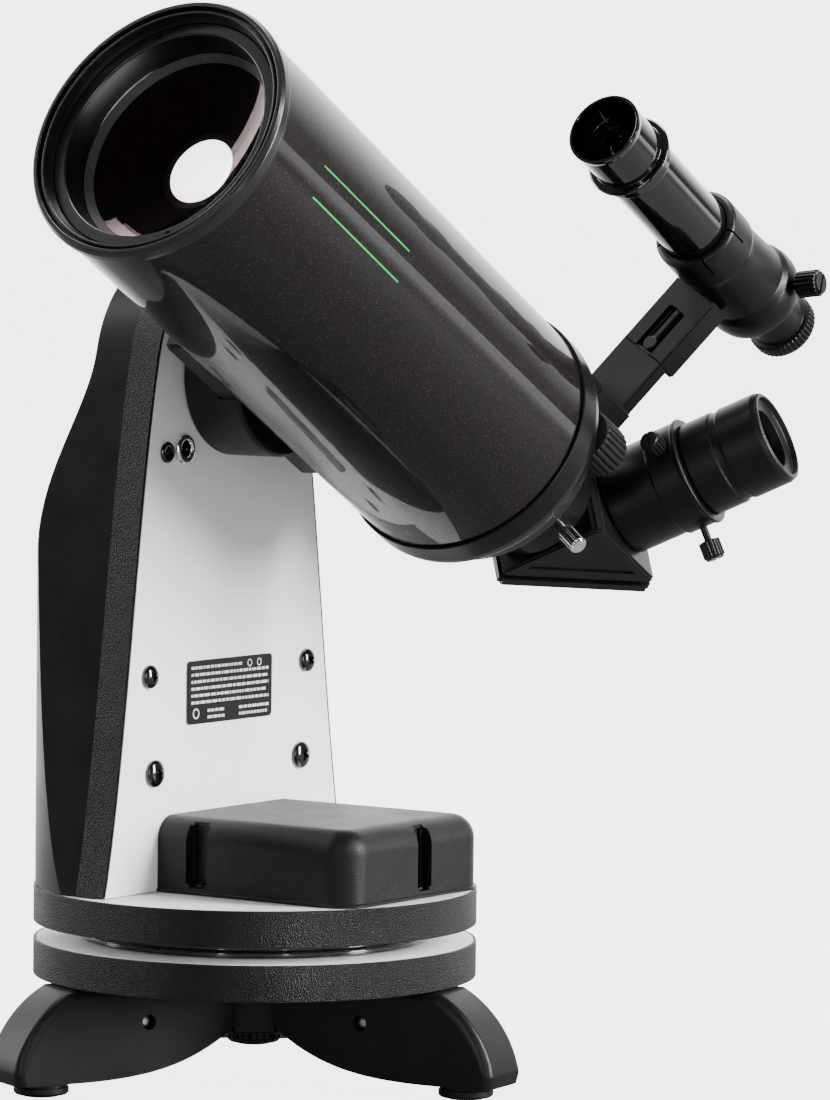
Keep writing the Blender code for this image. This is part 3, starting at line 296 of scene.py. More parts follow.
# The aluminised spot glows white. This is painted light in place of its mirror reflection of the bright
# surroundings; the spot is no lamp.
spot_painted_glow_shader = spot_with_painted_glow.node_tree.nodes["Principled BSDF"]
spot_painted_glow_shader.inputs["Emission Color"].default_value = (1, 1, 1, 1)
spot_painted_glow_shader.inputs["Emission Strength"].default_value = SPOT_PAINTED_GLOW
lens_glass = coated_glass("meniscus glass", (0.90, 0.84, 0.85), (0.40, 0.08, 0.09), 1.28)
eye_glass = coated_glass("eyepiece glass", (0.55, 0.50, 0.60), (0.45, 0.30, 0.75))


# ---------------------------------------------------------------- shapes


def rounded(profile, radius, steps=3, loop=True):
    """The outline with its corners rounded off, so that edges catch the light."""
    points = [Vector(p) for p in profile]
    count = len(points)
    made = []
    for k, corner in enumerate(points):
        if not loop and k in (0, count - 1):
            made.append(tuple(corner))
            continue
        before, after = points[k - 1] - corner, points[(k + 1) % count] - corner
        if before.length < 1e-7 or after.length < 1e-7 or before.angle(-after) < radians(14):
            made.append(tuple(corner))
            continue
        cut = min(radius, 0.42 * before.length, 0.42 * after.length)
        start, end = corner + before.normalized() * cut, corner + after.normalized() * cut
        for s in range(steps + 1):
            t = s / steps
            made.append(tuple(start * (1 - t) ** 2 + corner * 2 * t * (1 - t) + end * t * t))
    return made


def loft(rings, closed=False, caps=True):
    bm = bmesh.new()
    made = [[bm.verts.new(point) for point in ring] for ring in rings]
    pairs = list(zip(made, made[1:]))
    if closed:
        pairs.append((made[-1], made[0]))
    count = len(rings[0])
    for low, high in pairs:
        for i in range(count):
            j = (i + 1) % count
            bm.faces.new((low[i], low[j], high[j], high[i]))
    if caps and not closed:
        bm.faces.new(made[0])
        bm.faces.new(made[-1])
    return bm


def turned(profile, segments=128, radius=0.0003, ribs=None, steps=3):
    """Turns (radius, z) points about Z; ribs is (count, depth, from z, to z) of a knurled band."""
    on_axis = profile[0][0] == 0
    outline = rounded(profile, radius, steps, loop=not on_axis)
    body = outline[1:-1] if on_axis else outline
    pattern = (0.0, 0.15, 1.0, 0.85, 0.15) if ribs else (0.0,)
    if ribs:
        segments = ribs[0] * len(pattern)
    rings = []
    for r, z in body:
        depth = ribs[1] if ribs and ribs[2] <= z <= ribs[3] and r > ribs[4] else 0.0
        ring = []
        for k in range(segments):
            reach = r - depth * pattern[k % len(pattern)]
            ring.append((reach * cos(2 * pi * k / segments), reach * sin(2 * pi * k / segments), z))
        rings.append(ring)
    return loft(rings, closed=not on_axis, caps=on_axis)


def extruded(outline, start, end, axis="z"):
    if axis == "z":
        return loft([[(a, b, place) for a, b in outline] for place in (start, end)])
    return loft([[(place, a, b) for a, b in outline] for place in (start, end)])


def bevelled(bm, width, steps=3, least=30):
    """Rounds off every edge sharper than least degrees."""
    bmesh.ops.recalc_face_normals(bm, faces=bm.faces)
    edges = [e for e in bm.edges if e.is_manifold and e.calc_face_angle(0) > radians(least)]
    bmesh.ops.bevel(bm, geom=edges, offset=width, segments=steps, affect="EDGES", clamp_overlap=True)
    return bm


def block(low, high, width=0.0004, steps=3):
    bm = bmesh.new()
    bmesh.ops.create_cube(bm, size=1.0)
    bmesh.ops.scale(bm, vec=Vector(high) - Vector(low), verts=bm.verts)
    bmesh.ops.translate(bm, vec=(Vector(low) + Vector(high)) / 2, verts=bm.verts)
    return bevelled(bm, width, steps) if width else bm


def rod(radius, start, end, segments=32):
    return turned([(0, start), (radius, start), (radius, end), (0, end)], segments, 0.0)


def placed(bm, matrix):
    bmesh.ops.transform(bm, matrix=matrix, verts=bm.verts)
    return bm


def joined(*parts):
    whole = bmesh.new()
    for part in parts:
        mesh = bpy.data.meshes.new("part")
        part.to_mesh(mesh)
        part.free()
        whole.from_mesh(mesh)
        bpy.data.meshes.remove(mesh)
    return whole


def rounded_outline(half_x, half_y, radius, steps=10):
    outline = []
    for corner in range(4):
        sign_x = 1 if corner in (0, 3) else -1
        sign_y = 1 if corner in (0, 1) else -1
        for k in range(steps + 1):
            angle = pi / 2 * (corner + k / steps)
            x = sign_x * (half_x - radius) + radius * cos(angle)
            y = sign_y * (half_y - radius) + radius * sin(angle)
            outline.append((x, y))
    return outline


def piece(name, bm, place, surface, body, slot, *nodes, cuts=(), sharp=32, solver="EXACT"):
    """Puts a mesh in place, cuts hollows in it, and lets it ride on its body."""
    bmesh.ops.recalc_face_normals(bm, faces=bm.faces)
    mesh = bpy.data.meshes.new(name)
    bm.to_mesh(mesh)
    bm.free()
    obj = bpy.data.objects.new(name, mesh)
    bpy.context.collection.objects.link(obj)
    obj.matrix_world = place
    if cuts:
        tools = []
        for tool in cuts:
            bmesh.ops.recalc_face_normals(tool, faces=tool.faces)
            tool_mesh = bpy.data.meshes.new("tool")
            tool.to_mesh(tool_mesh)
            tool.free()
            helper = bpy.data.objects.new("tool", tool_mesh)
            bpy.context.collection.objects.link(helper)
            helper.matrix_world = place
            tools.append(helper)
            boolean = obj.modifiers.new("cut", "BOOLEAN")
            boolean.operation = "DIFFERENCE"
            boolean.object = helper
            boolean.solver = solver
        bpy.context.view_layer.update()
        solved = bpy.data.meshes.new_from_object(
            obj.evaluated_get(bpy.context.evaluated_depsgraph_get())
        )
        obj.modifiers.clear()
        obj.data = solved
        for helper in tools:
            bpy.data.objects.remove(helper, do_unlink=True)
        mesh = solved
    mesh.materials.clear()
    mesh.materials.append(surface)
    mesh.shade_smooth()
    mesh.set_sharp_from_angle(angle=radians(sharp))
    weighted = obj.modifiers.new("weighted", "WEIGHTED_NORMAL")
    weighted.keep_sharp = True
    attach(obj, body)
    if nodes:
        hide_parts(*nodes)
    return obj


def radial(angle, tau):
    """A frame on the tube's side: its Z points outwards at the angle."""
    outwards = Matrix.Rotation(pi / 2 - angle, 4, "Z") @ Matrix.Rotation(pi / 2, 4, "X")
    return Matrix.Translation((0, 0, tau)) @ outwards


def knurled_screw(head, shaft, ribs, slot_width=0.0):
    """A thumbscrew along +Z: head and shaft are (radius, start, end)."""
    r, start, end = head
    thin, thread_start = shaft
    rim = 0.14 * r
    neck = 0.62 * r
    profile = [
        (0, thread_start),
        (thin, thread_start),
        (thin, start - 0.0004),
        (neck, start - 0.0004),
        (neck, start),
        (r, start),
        (r, end - 1.6 * rim),
        (r - rim, end - 1.3 * rim),
        (r - 1.4 * rim, end),
        (0, end),
    ]
    screw = turned(profile, 64, 0.00018, (ribs, 0.10 * r, start - 0.0001, end - 1.5 * rim, 0.8 * r))
    cuts = []
    if slot_width:
        cuts = [block((-2 * r, -slot_width / 2, end - 0.0011), (2 * r, slot_width / 2, end + 0.001), 0)]
    return screw, cuts


# ---------------------------------------------------------------- stand


def ring_profile(inner, outer, bottom, top):
    return [(outer, top), (outer, bottom), (inner, bottom), (inner, top)]


def make_discs():
    levels = (
        ("base_board", "base_board_band", BOARD_BOTTOM, "base"),
        ("turntable_board", "turntable_band", TURN_BOTTOM, "platform"),
    )
    for board, band, bottom, body in levels:
        top = bottom + BOARD
        disc = turned(ring_profile(PIVOT_HOLE, DISC - BAND - BAND_FIT, bottom, top), 192, 0.0002)
        piece(board + "_laminate", disc, STAND, laminate, body, "laminate", board)
        strip = ring_profile(DISC - BAND, DISC, bottom, top)
        piece(band + "_strip", turned(strip, 192, 0.0004), STAND, edging, body, "edging", band)
    spacer = [
        (0.0585, BASE_TOP + GAP),
        (0.0585, BASE_TOP + 0.0018),
        (0.0572, BASE_TOP + 0.0026),
        (0.0572, TURN_BOTTOM - GAP),
        (0.0400, TURN_BOTTOM - GAP),
        (0.0400, BASE_TOP + GAP),
    ]
    piece("bearing_ring", turned(spacer, 160), STAND, gloss, "base", "acetal", "azimuth_bearing")


def make_hub_and_bolt():
    corner = HUB_HALF_FLAT / cos(pi / 6)
    hexagon = [(corner * cos(pi / 3 * k), corner * sin(pi / 3 * k)) for k in range(6)]
    hub = bevelled(extruded(hexagon, 0.0165, BOARD_BOTTOM - GAP), 0.0011)
    turn = STAND @ Matrix.Rotation(radians(LEG_HEADINGS[0] + 30), 4, "Z")
    bore = rod(PIVOT_HOLE, 0.010, 0.040)
    piece("leg_hub_hexagon", hub, turn, leg_plastic, "base", "plastic", "leg_hub", cuts=[bore])
    knob = turned(
        [(0, 0.0133), (0.0082, 0.0133), (0.0095, 0.0141), (0.0095, 0.0162), (0.0050, 0.0162), (0, 0.0162)],
        96,
        0.0003,
        (20, 0.0007, 0.0138, 0.0163, 0.009),
    )
    bolt = turned(
        [(0, 0.0160), (0.005, 0.0160), (0.005, DECK + GAP), (0.009, DECK + GAP), (0.009, DECK + 0.0048),
         (0, DECK + 0.0048)],
        48,
    )
    piece("pivot_bolt", joined(knob, bolt), STAND, satin, "base", "steel", "azimuth_bolt")


def leg_shape():
    """A leg along +X with a rounded back; its belly arches between the foot and the hub."""
    top, sole = BOARD_BOTTOM - GAP, 0.0048
    tip = LEG_TIP
    back = interpolate_bezier(
        Vector((0.0755, top)), Vector((0.088, 0.030)), Vector((0.0955, 0.018)), Vector((tip, 0.0085)), 24
    )
    belly = interpolate_bezier(
        Vector((0.0695, sole)), Vector((0.045, 0.0052)), Vector((0.030, 0.0085)),
        Vector((LEG_ROOT, 0.0200)), 24
    )
    outline = [(LEG_ROOT, top)] + [(p.x, p.y) for p in back] + [(tip - 0.001, sole)]
    outline += [(p.x, p.y) for p in belly]
    half, narrow = LEG_HALF_WIDTH, LEG_ROUNDING
    rings = []
    steps = 6
    sides = [(-1, k) for k in range(steps + 1)] + [(1, k) for k in range(steps, -1, -1)]
    for sign, k in sides:
        lean = pi / 2 * k / steps
        inset = narrow * (1 - sin(lean))
        y = sign * (half - narrow * (1 - cos(lean)))
        ring = []
        for x, z in outline:
            outer = x > 0.074
            low = inset if outer and z < top else 0
            drop = inset if outer and z > 0.012 else 0
            ring.append((x - low, y, min(z - drop, top)))
        rings.append(ring)
    return bevelled(loft(rings), 0.0005, 2, 40)


def make_legs():
    for number, heading in enumerate(LEG_HEADINGS, 1):
        turn = STAND @ Matrix.Rotation(radians(heading), 4, "Z")
        recesses, screws = [], []
        for side in (-1, 1):
            spot = Matrix.Translation((0.047, side * LEG_HALF_WIDTH, 0.0235))
            spot = spot @ Matrix.Rotation(-side * pi / 2, 4, "X")
            recesses.append(placed(rod(0.0026, -0.004, 0.004), spot))
            head = [(0, -0.0039), (0.0021, -0.0039), (0.0021, -0.0029), (0.0012, -0.0026), (0, -0.0026)]
            screws.append(placed(turned(head, 32), spot))
        name = f"leg_{number}"
        piece(
            name + "_moulding", leg_shape(), turn, leg_plastic, "base", "plastic", name,
            cuts=recesses, solver="MANIFOLD",
        )
        piece(name + "_screws", joined(*screws), turn, steel, "base", "steel")
        pad = [
            (0, 0), (0.0062, 0), (0.0068, 0.0006), (0.0084, 0.0006), (0.0092, 0.0013), (0.0092, 0.0030),
            (0.0086, 0.0034), (0.0086, 0.0045), (0, 0.0045),
        ]
        name = f"foot_{number}"
        place = turn @ Matrix.Translation((FOOT_REACH, 0, 0))
        piece(name + "_pad", turned(pad, 72, 0.00025), place, foot_rubber, "base", "rubber", name)


# ---------------------------------------------------------------- platform and arm


def arm_side(inset=0.0):
    """One side of the arm as (y, height above the deck), from its foot to just short of its top."""
    arch_r, arch_z, start = ARCH_R - inset, ARCH_Z, ARCH_START
    side = interpolate_bezier(
        Vector((0.069 - inset, 0)),
        Vector((0.0570 - inset, 0.050)),
        Vector((0.0515 - inset, 0.135)),
        Vector((arch_r * cos(start), arch_z + arch_r * sin(start))),
        40,
    )
    right = [(p.x, p.y) for p in side]
    steps = 24
    for k in range(1, steps):
        angle = start + (pi / 2 - start) * k / steps
        right.append((arch_r * cos(angle), arch_z + arch_r * sin(angle)))
    return right


def arm_outline(inset=0.0):
    right = arm_side(inset)
    points = right + [(0.0, ARCH_Z + ARCH_R - inset)] + [(-y, z) for y, z in reversed(right)]
    return [(y, DECK + max(z, GAP)) for y, z in points]


def housing_section(y_half, z, inset):
    """The housing's outline at one height: flat at the board, round outside, thinner at the top."""
    start, end = HOUSING_TAPER
    rise = min(max((z - start) / (end - start), 0), 1)
    share = rise * rise * (3 - 2 * rise)
    radius = HOUSING_R - inset
    steps = 48
    open_side = BACK_X - GAP
    points = [(open_side, y_half)]
    for k in range(steps + 1):
        y = y_half * cos(pi * k / steps)
        points.append((-(1 - share) * sqrt(radius * radius - y * y) + share * (HOUSING_TOP_X + inset), y))
    points.append((open_side, -y_half))
    return [(x, y, DECK + z) for x, y in points]


def make_arm():
    holes = []
    for y, z, r in ((*JACK_SPOT, 0.0045), (*PLUG_SPOT, 0.0030), (0, 0.173, 0.0083)):
        holes.append(placed(rod(r, -0.03, 0.0), Matrix.Translation((0, y, DECK + z)) @ ALONG_X))
    board = extruded(arm_outline(BAND + BAND_FIT), BACK_X, PANEL_X, "x")
    piece("arm_panel", board, STAND, laminate, "platform", "laminate", "arm_board", cuts=holes)

    outer, inner = arm_outline(0), arm_outline(BAND)
    rings = []
    for far, near in zip(outer, inner):
        rings.append([(BACK_X, *far), (PANEL_X, *far), (PANEL_X, *near), (BACK_X, *near)])
    strip = bevelled(loft(rings), 0.00035, 2, 50)
    piece("arm_edge_strip", strip, STAND, edging, "platform", "edging", "arm_band")

    levels = [(y - 0.001, max(z, GAP)) for y, z in arm_side()]
    levels.append((0.006, ARCH_Z + ARCH_R - 0.0012))
    shell = loft([housing_section(y, z, 0.0) for y, z in levels])
    bevelled(shell, 0.0005, 2, 40)
    hollow = [(y - WALL, z + (WALL if z < 0.01 else 0)) for y, z in levels if z < 0.2075]
    sections = []
    for y, z in hollow:
        section = housing_section(y, z, WALL)
        for k in (0, -1):
            section[k] = (section[k][0] + 0.004, *section[k][1:])
        sections.append(section)
    inside = loft(sections)
    piece("arm_shell", shell, STAND, satin, "platform", "plastic", "arm_housing", cuts=[inside])

    number = 0
    for half, height, r in PANEL_SCREWS:
        for side in (-1, 1):
            number += 1
            place = STAND @ Matrix.Translation((PANEL_X, side * half, DECK + height)) @ ALONG_X
            dome = [(0, -0.007), (0.0015, -0.007), (0.0015, GAP), (r, GAP), (r, 0.0007)]
            for k in range(1, 9):
                angle = pi / 2 * k / 9
                dome.append((r * cos(angle), 0.0007 + 0.0019 * sin(angle)))
            dome.append((0, 0.0026))
            cross = [
                block((-0.42 * r, -0.13 * r, 0.0013), (0.42 * r, 0.13 * r, 0.004), 0),
                block((-0.13 * r, -0.42 * r, 0.0013), (0.13 * r, 0.42 * r, 0.004), 0),
            ]
            spin = place @ Matrix.Rotation(0.4 + number, 4, "Z")
            name = f"panel_screw_{number}"
            head = turned(dome, 56, 0.0002)
            piece(name + "_head", head, spin, gloss, "platform", "plastic", name, cuts=cross)

    jack = STAND @ Matrix.Translation((PANEL_X, JACK_SPOT[0], DECK + JACK_SPOT[1])) @ ALONG_X
    sleeve_shape = [
        (0.00505, GAP), (0.0042, GAP), (0.0042, -0.016), (0.0029, -0.016), (0.0029, 0.0010),
        (0.0034, 0.0018), (0.0044, 0.0018), (0.00505, 0.0012),
    ]
    ring = turned(sleeve_shape, 80, 0.00025)
    piece("power_jack_ring", ring, jack, chrome, "platform", "chrome", "power_jack")
    core = [
        (0, -0.0155), (0.0028, -0.0155), (0.0028, -0.0020), (0.0022, -0.0024), (0.0022, -0.0115),
        (0, -0.0115),
    ]
    piece("power_jack_core", turned(core, 48, 0.0002), jack, flat_black, "platform", "plastic")
    pin = [(0, -0.0120), (0.00055, -0.0120), (0.00055, -0.0030), (0.0003, -0.0026), (0, -0.0026)]
    piece("power_jack_pin", turned(pin, 24, 0.0001), jack, chrome, "platform", "chrome")

    plug = STAND @ Matrix.Translation((PANEL_X, PLUG_SPOT[0], DECK + PLUG_SPOT[1])) @ ALONG_X
    shape = [(0, -0.012), (0.0027, -0.012), (0.0027, GAP), (0.0036, GAP), (0.0036, 0.0009), (0.0030, 0.0014),
             (0.0024, 0.0014), (0.0021, 0.0011), (0, 0.0010)]
    piece("rubber_plug_cap", turned(shape, 56, 0.0002), plug, gloss, "platform", "rubber", "rubber_plug")


def make_label():
    """A foil plate; its print is rows of short bars and three plain signs."""
    face = PANEL_X + GAP
    middle = DECK + LABEL_Z
    outline = [(y, middle + z) for y, z in rounded_outline(0.0240, 0.0107, 0.0015, 6)]
    plate = bevelled(extruded(outline, face, face + 0.0005, "x"), 0.0001, 1, 60)
    piece("label_foil", plate, STAND, label_black, "platform", "label", "label_plate")
    draw = random.Random(7)
    bars = []

    def bar(y, z, wide, tall):
        top = face + 0.0005
        bars.append(block((top - 0.0001, y, z), (top + 0.00003, y + wide, z + tall), 0))

    for row in range(6):
        z = middle + 0.0078 - 0.00235 * row
        y = -0.0222
        end = 0.0060 if row == 0 else 0.0218 - 0.003 * draw.random()
        while y < end:
            wide = 0.0008 + 0.0024 * draw.random()
            bar(y, z, min(wide, end - y + 0.0004), 0.00095)
            y += wide + 0.00055
    for row in range(2):
        z = middle - 0.0070 - 0.0022 * row
        for start, end in ((-0.0130, -0.0040), (0.0050, 0.0200)):
            y = start
            while y < end:
                wide = 0.0008 + 0.0020 * draw.random()
                bar(y, z, wide, 0.00095)
                y += wide + 0.0005
    for y, z, r in ((-0.0195, -0.0072, 0.0018), (0.0110, 0.0082, 0.0013), (0.0165, 0.0082, 0.0013)):
        spot = Matrix.Translation((face + 0.0005, y, middle + z)) @ ALONG_X
        bars.append(placed(turned(ring_profile(0.72 * r, r, -0.0001, 0.00003), 40, 0.0), spot))
    piece("label_print", joined(*bars), STAND, print_white, "platform", "label")


def make_battery_box():
    """The lid stands against the panel, so its back is flat and only its other sides are rounded."""
    low_x, high_x, half_y = PANEL_X + GAP, 0.0670, 0.0396
    floor, height, corner, edge = DECK + GAP, 0.0252, 0.010, 0.008

    def ring(inset, z):
        reach = max(corner - inset, 0.0015)
        shape = [(low_x, half_y - inset)]
        for turn in (1, -1):
            for k in range(11):
                angle = turn * (pi / 2 - pi / 2 * (k if turn == 1 else 10 - k) / 10)
                x = high_x - inset - reach + reach * cos(angle)
                shape.append((x, turn * (half_y - inset - reach) + reach * sin(angle)))
        shape.append((low_x, inset - half_y))
        return [(x, y, floor + z) for x, y in shape]

    rings = [ring(-0.0005, 0.0), ring(-0.0005, 0.0007), ring(-0.0002, 0.0010), ring(0.0, 0.0011)]
    for k in range(17):
        lean = pi / 2 * k / 16
        rings.append(ring(edge * (1 - cos(lean)), height - edge * (1 - sin(lean))))
    slots, screws = [], []
    for low, high, facing in (
        ((0.0, -half_y - 0.005), (0.0086, -half_y + 0.005), "y"),
        ((high_x - 0.005, -0.0006), (high_x + 0.005, 0.0074), "x"),
    ):
        slots.append(block((*low, floor + 0.0022), (*high, floor + 0.0240), 0.0012, 4))
        middle = (Vector(low) + Vector(high)) / 2
        x = middle.x - (0.0026 if facing == "x" else 0)
        y = middle.y + (0.0026 if facing == "y" else 0)
        head = turned([(0, 0.0023), (0.0016, 0.0023), (0.0016, 0.0032), (0.0010, 0.0037), (0, 0.0037)], 40)
        screws.append(placed(head, Matrix.Translation((x, y, floor))))
    lid = loft(rings)
    piece("battery_box", lid, STAND, grained, "platform", "plastic", "battery_cover", cuts=slots, sharp=40)
    piece("battery_box_screws", joined(*screws), STAND, turned_black, "platform", "steel")


# ---------------------------------------------------------------- altitude head


def make_head():
    end = 0.0106
    profile = [
        (0, -0.0355), (0.008, -0.0355), (0.008, PANEL_X + GAP), (0.0272, PANEL_X + GAP),
        (0.028, PANEL_X + 0.0011), (0.028, end - 0.0012), (0.0270, end), (0.0250, end),
        (0.0245, end - 0.0006),
        (0, end - 0.0006),
    ]
    clamp = Matrix.Translation((0.0067, 0, 0)) @ Matrix.Rotation(pi / 2, 4, "X")
    groove = block((0.0023, -0.0203, -0.04), (0.0208, 0.0203, 0.04), 0)
    cuts = [groove, placed(rod(0.0022, 0.018, 0.034), clamp)]
    hub = placed(turned(profile, 144, 0.0004), ALONG_X)
    piece("altitude_drum", hub, HEAD, grey_plastic, "optical_tube", "plastic", "altitude_hub", cuts=cuts)

    bar = block((0.0026, -0.020, -0.0552), (0.0108, 0.020, 0.035), 0.0010)
    rails = []
    for y in (-0.0125, 0.0125):
        rails.append(block((0.0022, y - 0.0012, -0.0562), (0.0029, y + 0.0012, 0.036), 0))
    piece("mounting_bar", bar, HEAD, anodised, "optical_tube", "anodised", "dovetail_bar", cuts=rails)
    screw, _ = knurled_screw((0.0085, 0.0300, 0.0420), (0.0019, 0.0203), 18)
    piece("clamp_knob_head", screw, HEAD @ clamp, satin, "clamp_knob", "plastic", "clamp_knob")


# ---------------------------------------------------------------- optical tube


def tube_strip(angle, start, end, width):
    """A printed line on the tube, following its round side."""
    half = width / 2 / TUBE_R
    rings = []
    for tau in (start, end):
        ring = []
        for r in (TUBE_R - 0.00003, TUBE_R + 0.00005):
            spread = [angle - half + 2 * half * k / 4 for k in range(5)]
            if r > TUBE_R:
                spread.reverse()
            ring += [(r * cos(a), -r * sin(a), tau) for a in spread]
        rings.append(ring)
    return loft(rings)


def dish(r, curve, crown):
    """How far back a bowl of that curve lies at radius r, its middle at crown."""
    return crown - (curve - sqrt(curve * curve - r * r))


def make_meniscus(body):
    """The deep front lens, its ground edge, and the mirrored spot with its baffle behind the lens; the spot's
    glow is painted light that stands in for its mirror reflection.
    """
    (front, rear), (bow, hollow) = LENS_TAU, LENS_CURVE
    edge, seat, full, count = 0.0330, 0.0362, 0.0379, 24
    lens = [(0, front)]
    lens += [(edge * k / count, dish(edge * k / count, bow, front)) for k in range(1, count + 1)]
    lens += [(seat, dish(seat, bow, front)), (full, dish(seat, bow, front))]
    lens += [(full * k / count, dish(full * k / count, hollow, rear)) for k in range(count, 0, -1)]
    lens.append((0, rear))
    piece("meniscus", turned(lens, 160, 0.0), OPTICS, lens_glass, body, "glass", "meniscus_lens")
    outer = 0.0355
    rim = [
        (edge, dish(edge, bow, front - 0.0001)), (outer, dish(outer, bow, front - 0.0001)),
        (outer, dish(outer, bow, front - 0.0007)), (edge, dish(edge, bow, front - 0.0003)),
    ]
    piece("meniscus_bevel", turned(rim, 160, 0.0), OPTICS, ground, body, "glass")
    face, back = rear + 0.0001, rear + 0.0004
    spot = [(0, face)]
    spot += [(SPOT_R * k / 8, dish(SPOT_R * k / 8, hollow, face)) for k in range(1, 9)]
    spot += [(SPOT_R, dish(SPOT_R, hollow, back)), (0, back)]
    piece("secondary_spot", turned(spot, 96, 0.0), OPTICS, spot_with_painted_glow, body, "mirror")
    cone = turned(ring_profile(0.0119, 0.0144, 0.0301, 0.0413), 96, 0.0003)
    piece("secondary_cone", cone, OPTICS, grey_plastic, body, "plastic", "secondary_baffle")


def make_tube():
    body, inside = "optical_tube", TUBE_R - TUBE_WALL
    shell = turned(ring_profile(inside, TUBE_R, 0.0059, 0.2002), 224, 0.0002)
    piece("tube_shell", shell, OPTICS, tube_paint, body, "tube_paint", "telescope_tube")
    lines = [tube_strip(radians(angle), 0.0302, 0.0845, 0.00062) for angle in (4.95, -9.4)]
    piece("tube_lines", joined(*lines), OPTICS, green_paint, body, "tube_paint")
    lining = turned(ring_profile(inside - 0.0006, inside - 0.0001, 0.0273, 0.190), 128, 0.0)
    piece("tube_lining", lining, OPTICS, flat_black, body, "tube_paint")

    spigot = inside - GAP
    front = [
        (RING_R, 0.0014), (RING_R, 0.0042), (0.0457, 0.0045), (0.0457, 0.0056), (spigot, 0.0056),
        (spigot, 0.0270), (0.0366, 0.0270), (0.0366, 0.0224), (0.0383, 0.0224), (0.0383, 0.0078),
        (0.0405, 0.0078), (0.0405, 0.0046), (0.0412, 0.0030), (0.0416, 0.0014), (0.0418, 0.0008),
        (0.0426, 0.0008), (0.0427, 0.0022), (0.0436, 0.0022), (0.0438, 0.0000), (0.0452, 0.0000),
    ]
    piece("front_ring", turned(front, 224, 0.0002), OPTICS, ring_black, body, "anodised", "front_cell")
    holes = []
    for angle in (radians(-113), radians(67)):
        spot = Matrix.Rotation(angle, 4, "Z") @ Matrix.Translation((0.0384, 0, 0))
        holes.append(placed(rod(0.0009, 0.003, 0.0062, 24), spot))
    retaining = [
        (0.0366, 0.0046), (0.0402, 0.0046), (0.0402, 0.0075), (0.0379, 0.0075), (0.0379, 0.0146),
        (0.0356, 0.0146), (0.0362, 0.0052),
    ]
    ring = turned(retaining, 192, 0.00022)
    piece("lens_retaining_ring", ring, OPTICS, ring_black, body, "anodised", "retaining_ring", cuts=holes)
    make_meniscus(body)

    cell = [
        (spigot, 0.1945), (spigot, 0.2005), (RING_R, 0.2005), (RING_R, 0.2090), (0.0452, 0.2120),
        (0.0436, 0.2145), (0.0408, 0.2172), (0.0392, 0.2200), (0.0384, 0.2235), (0.0366, 0.2250),
        (0.0145, 0.2250),
        (0.0145, 0.2210), (0.0330, 0.2190), (0.0370, 0.2140), (0.0410, 0.2070), (0.0410, 0.1945),
    ]
    shoe = bevelled(block((0.028, -0.0125, 0.213), (0.0425, 0.0125, 0.2257), 0), 0.0008)
    placed(shoe, Matrix.Rotation(-FINDER_ANGLE, 4, "Z"))
    focus = Matrix.Translation((FOCUS_REACH * cos(FOCUS_ANGLE), -FOCUS_REACH * sin(FOCUS_ANGLE), 0))
    bore = placed(rod(0.0033, 0.205, 0.230), focus)
    cell_mesh = joined(turned(cell, 192, 0.0006), shoe)
    piece("rear_casting", cell_mesh, OPTICS, anodised, body, "anodised", "rear_cell", cuts=[bore])

    knob = [
        (0, 0.206), (0.0030, 0.206), (0.0030, 0.2262), (0.0088, 0.2262), (0.0095, 0.2270), (0.0095, 0.2392),
        (0.0086, 0.2405), (0.0080, 0.2410), (0, 0.2407),
    ]
    grip = turned(knob, 96, 0.0004, (26, 0.00075, 0.2266, 0.2396, 0.0088))
    piece("focus_knob_grip", grip, OPTICS @ focus, rubber, "focus_knob", "rubber", "focus_knob")


def make_visual_back():
    back = [
        (0.0215, 0.2253), (0.0215, 0.2290), (0.0210, 0.2294), (0.0210, 0.2300), (0.0215, 0.2304),
        (0.0215, 0.2523), (0.0205, 0.2535), (0.0168, 0.2535), (0.01617, 0.2529), (0.01617, 0.2283),
        (0.0125, 0.2283), (0.0125, 0.2253),
    ]
    turn = radial(radians(-36), 0.246)
    hole = placed(rod(0.0018, 0.014, 0.024), turn)
    port, body = turned(back, 144, 0.0003), "optical_tube"
    piece("visual_back_port", port, OPTICS, anodised, body, "anodised", "visual_back", cuts=[hole])
    screw, _ = knurled_screw((0.0031, 0.0255, 0.0345), (0.0015, 0.01617), 14)
    body = "visual_back_screw"
    piece("chrome_thumbscrew", screw, OPTICS @ turn, chrome, body, "chrome", "visual_back_screw")


# ---------------------------------------------------------------- finder


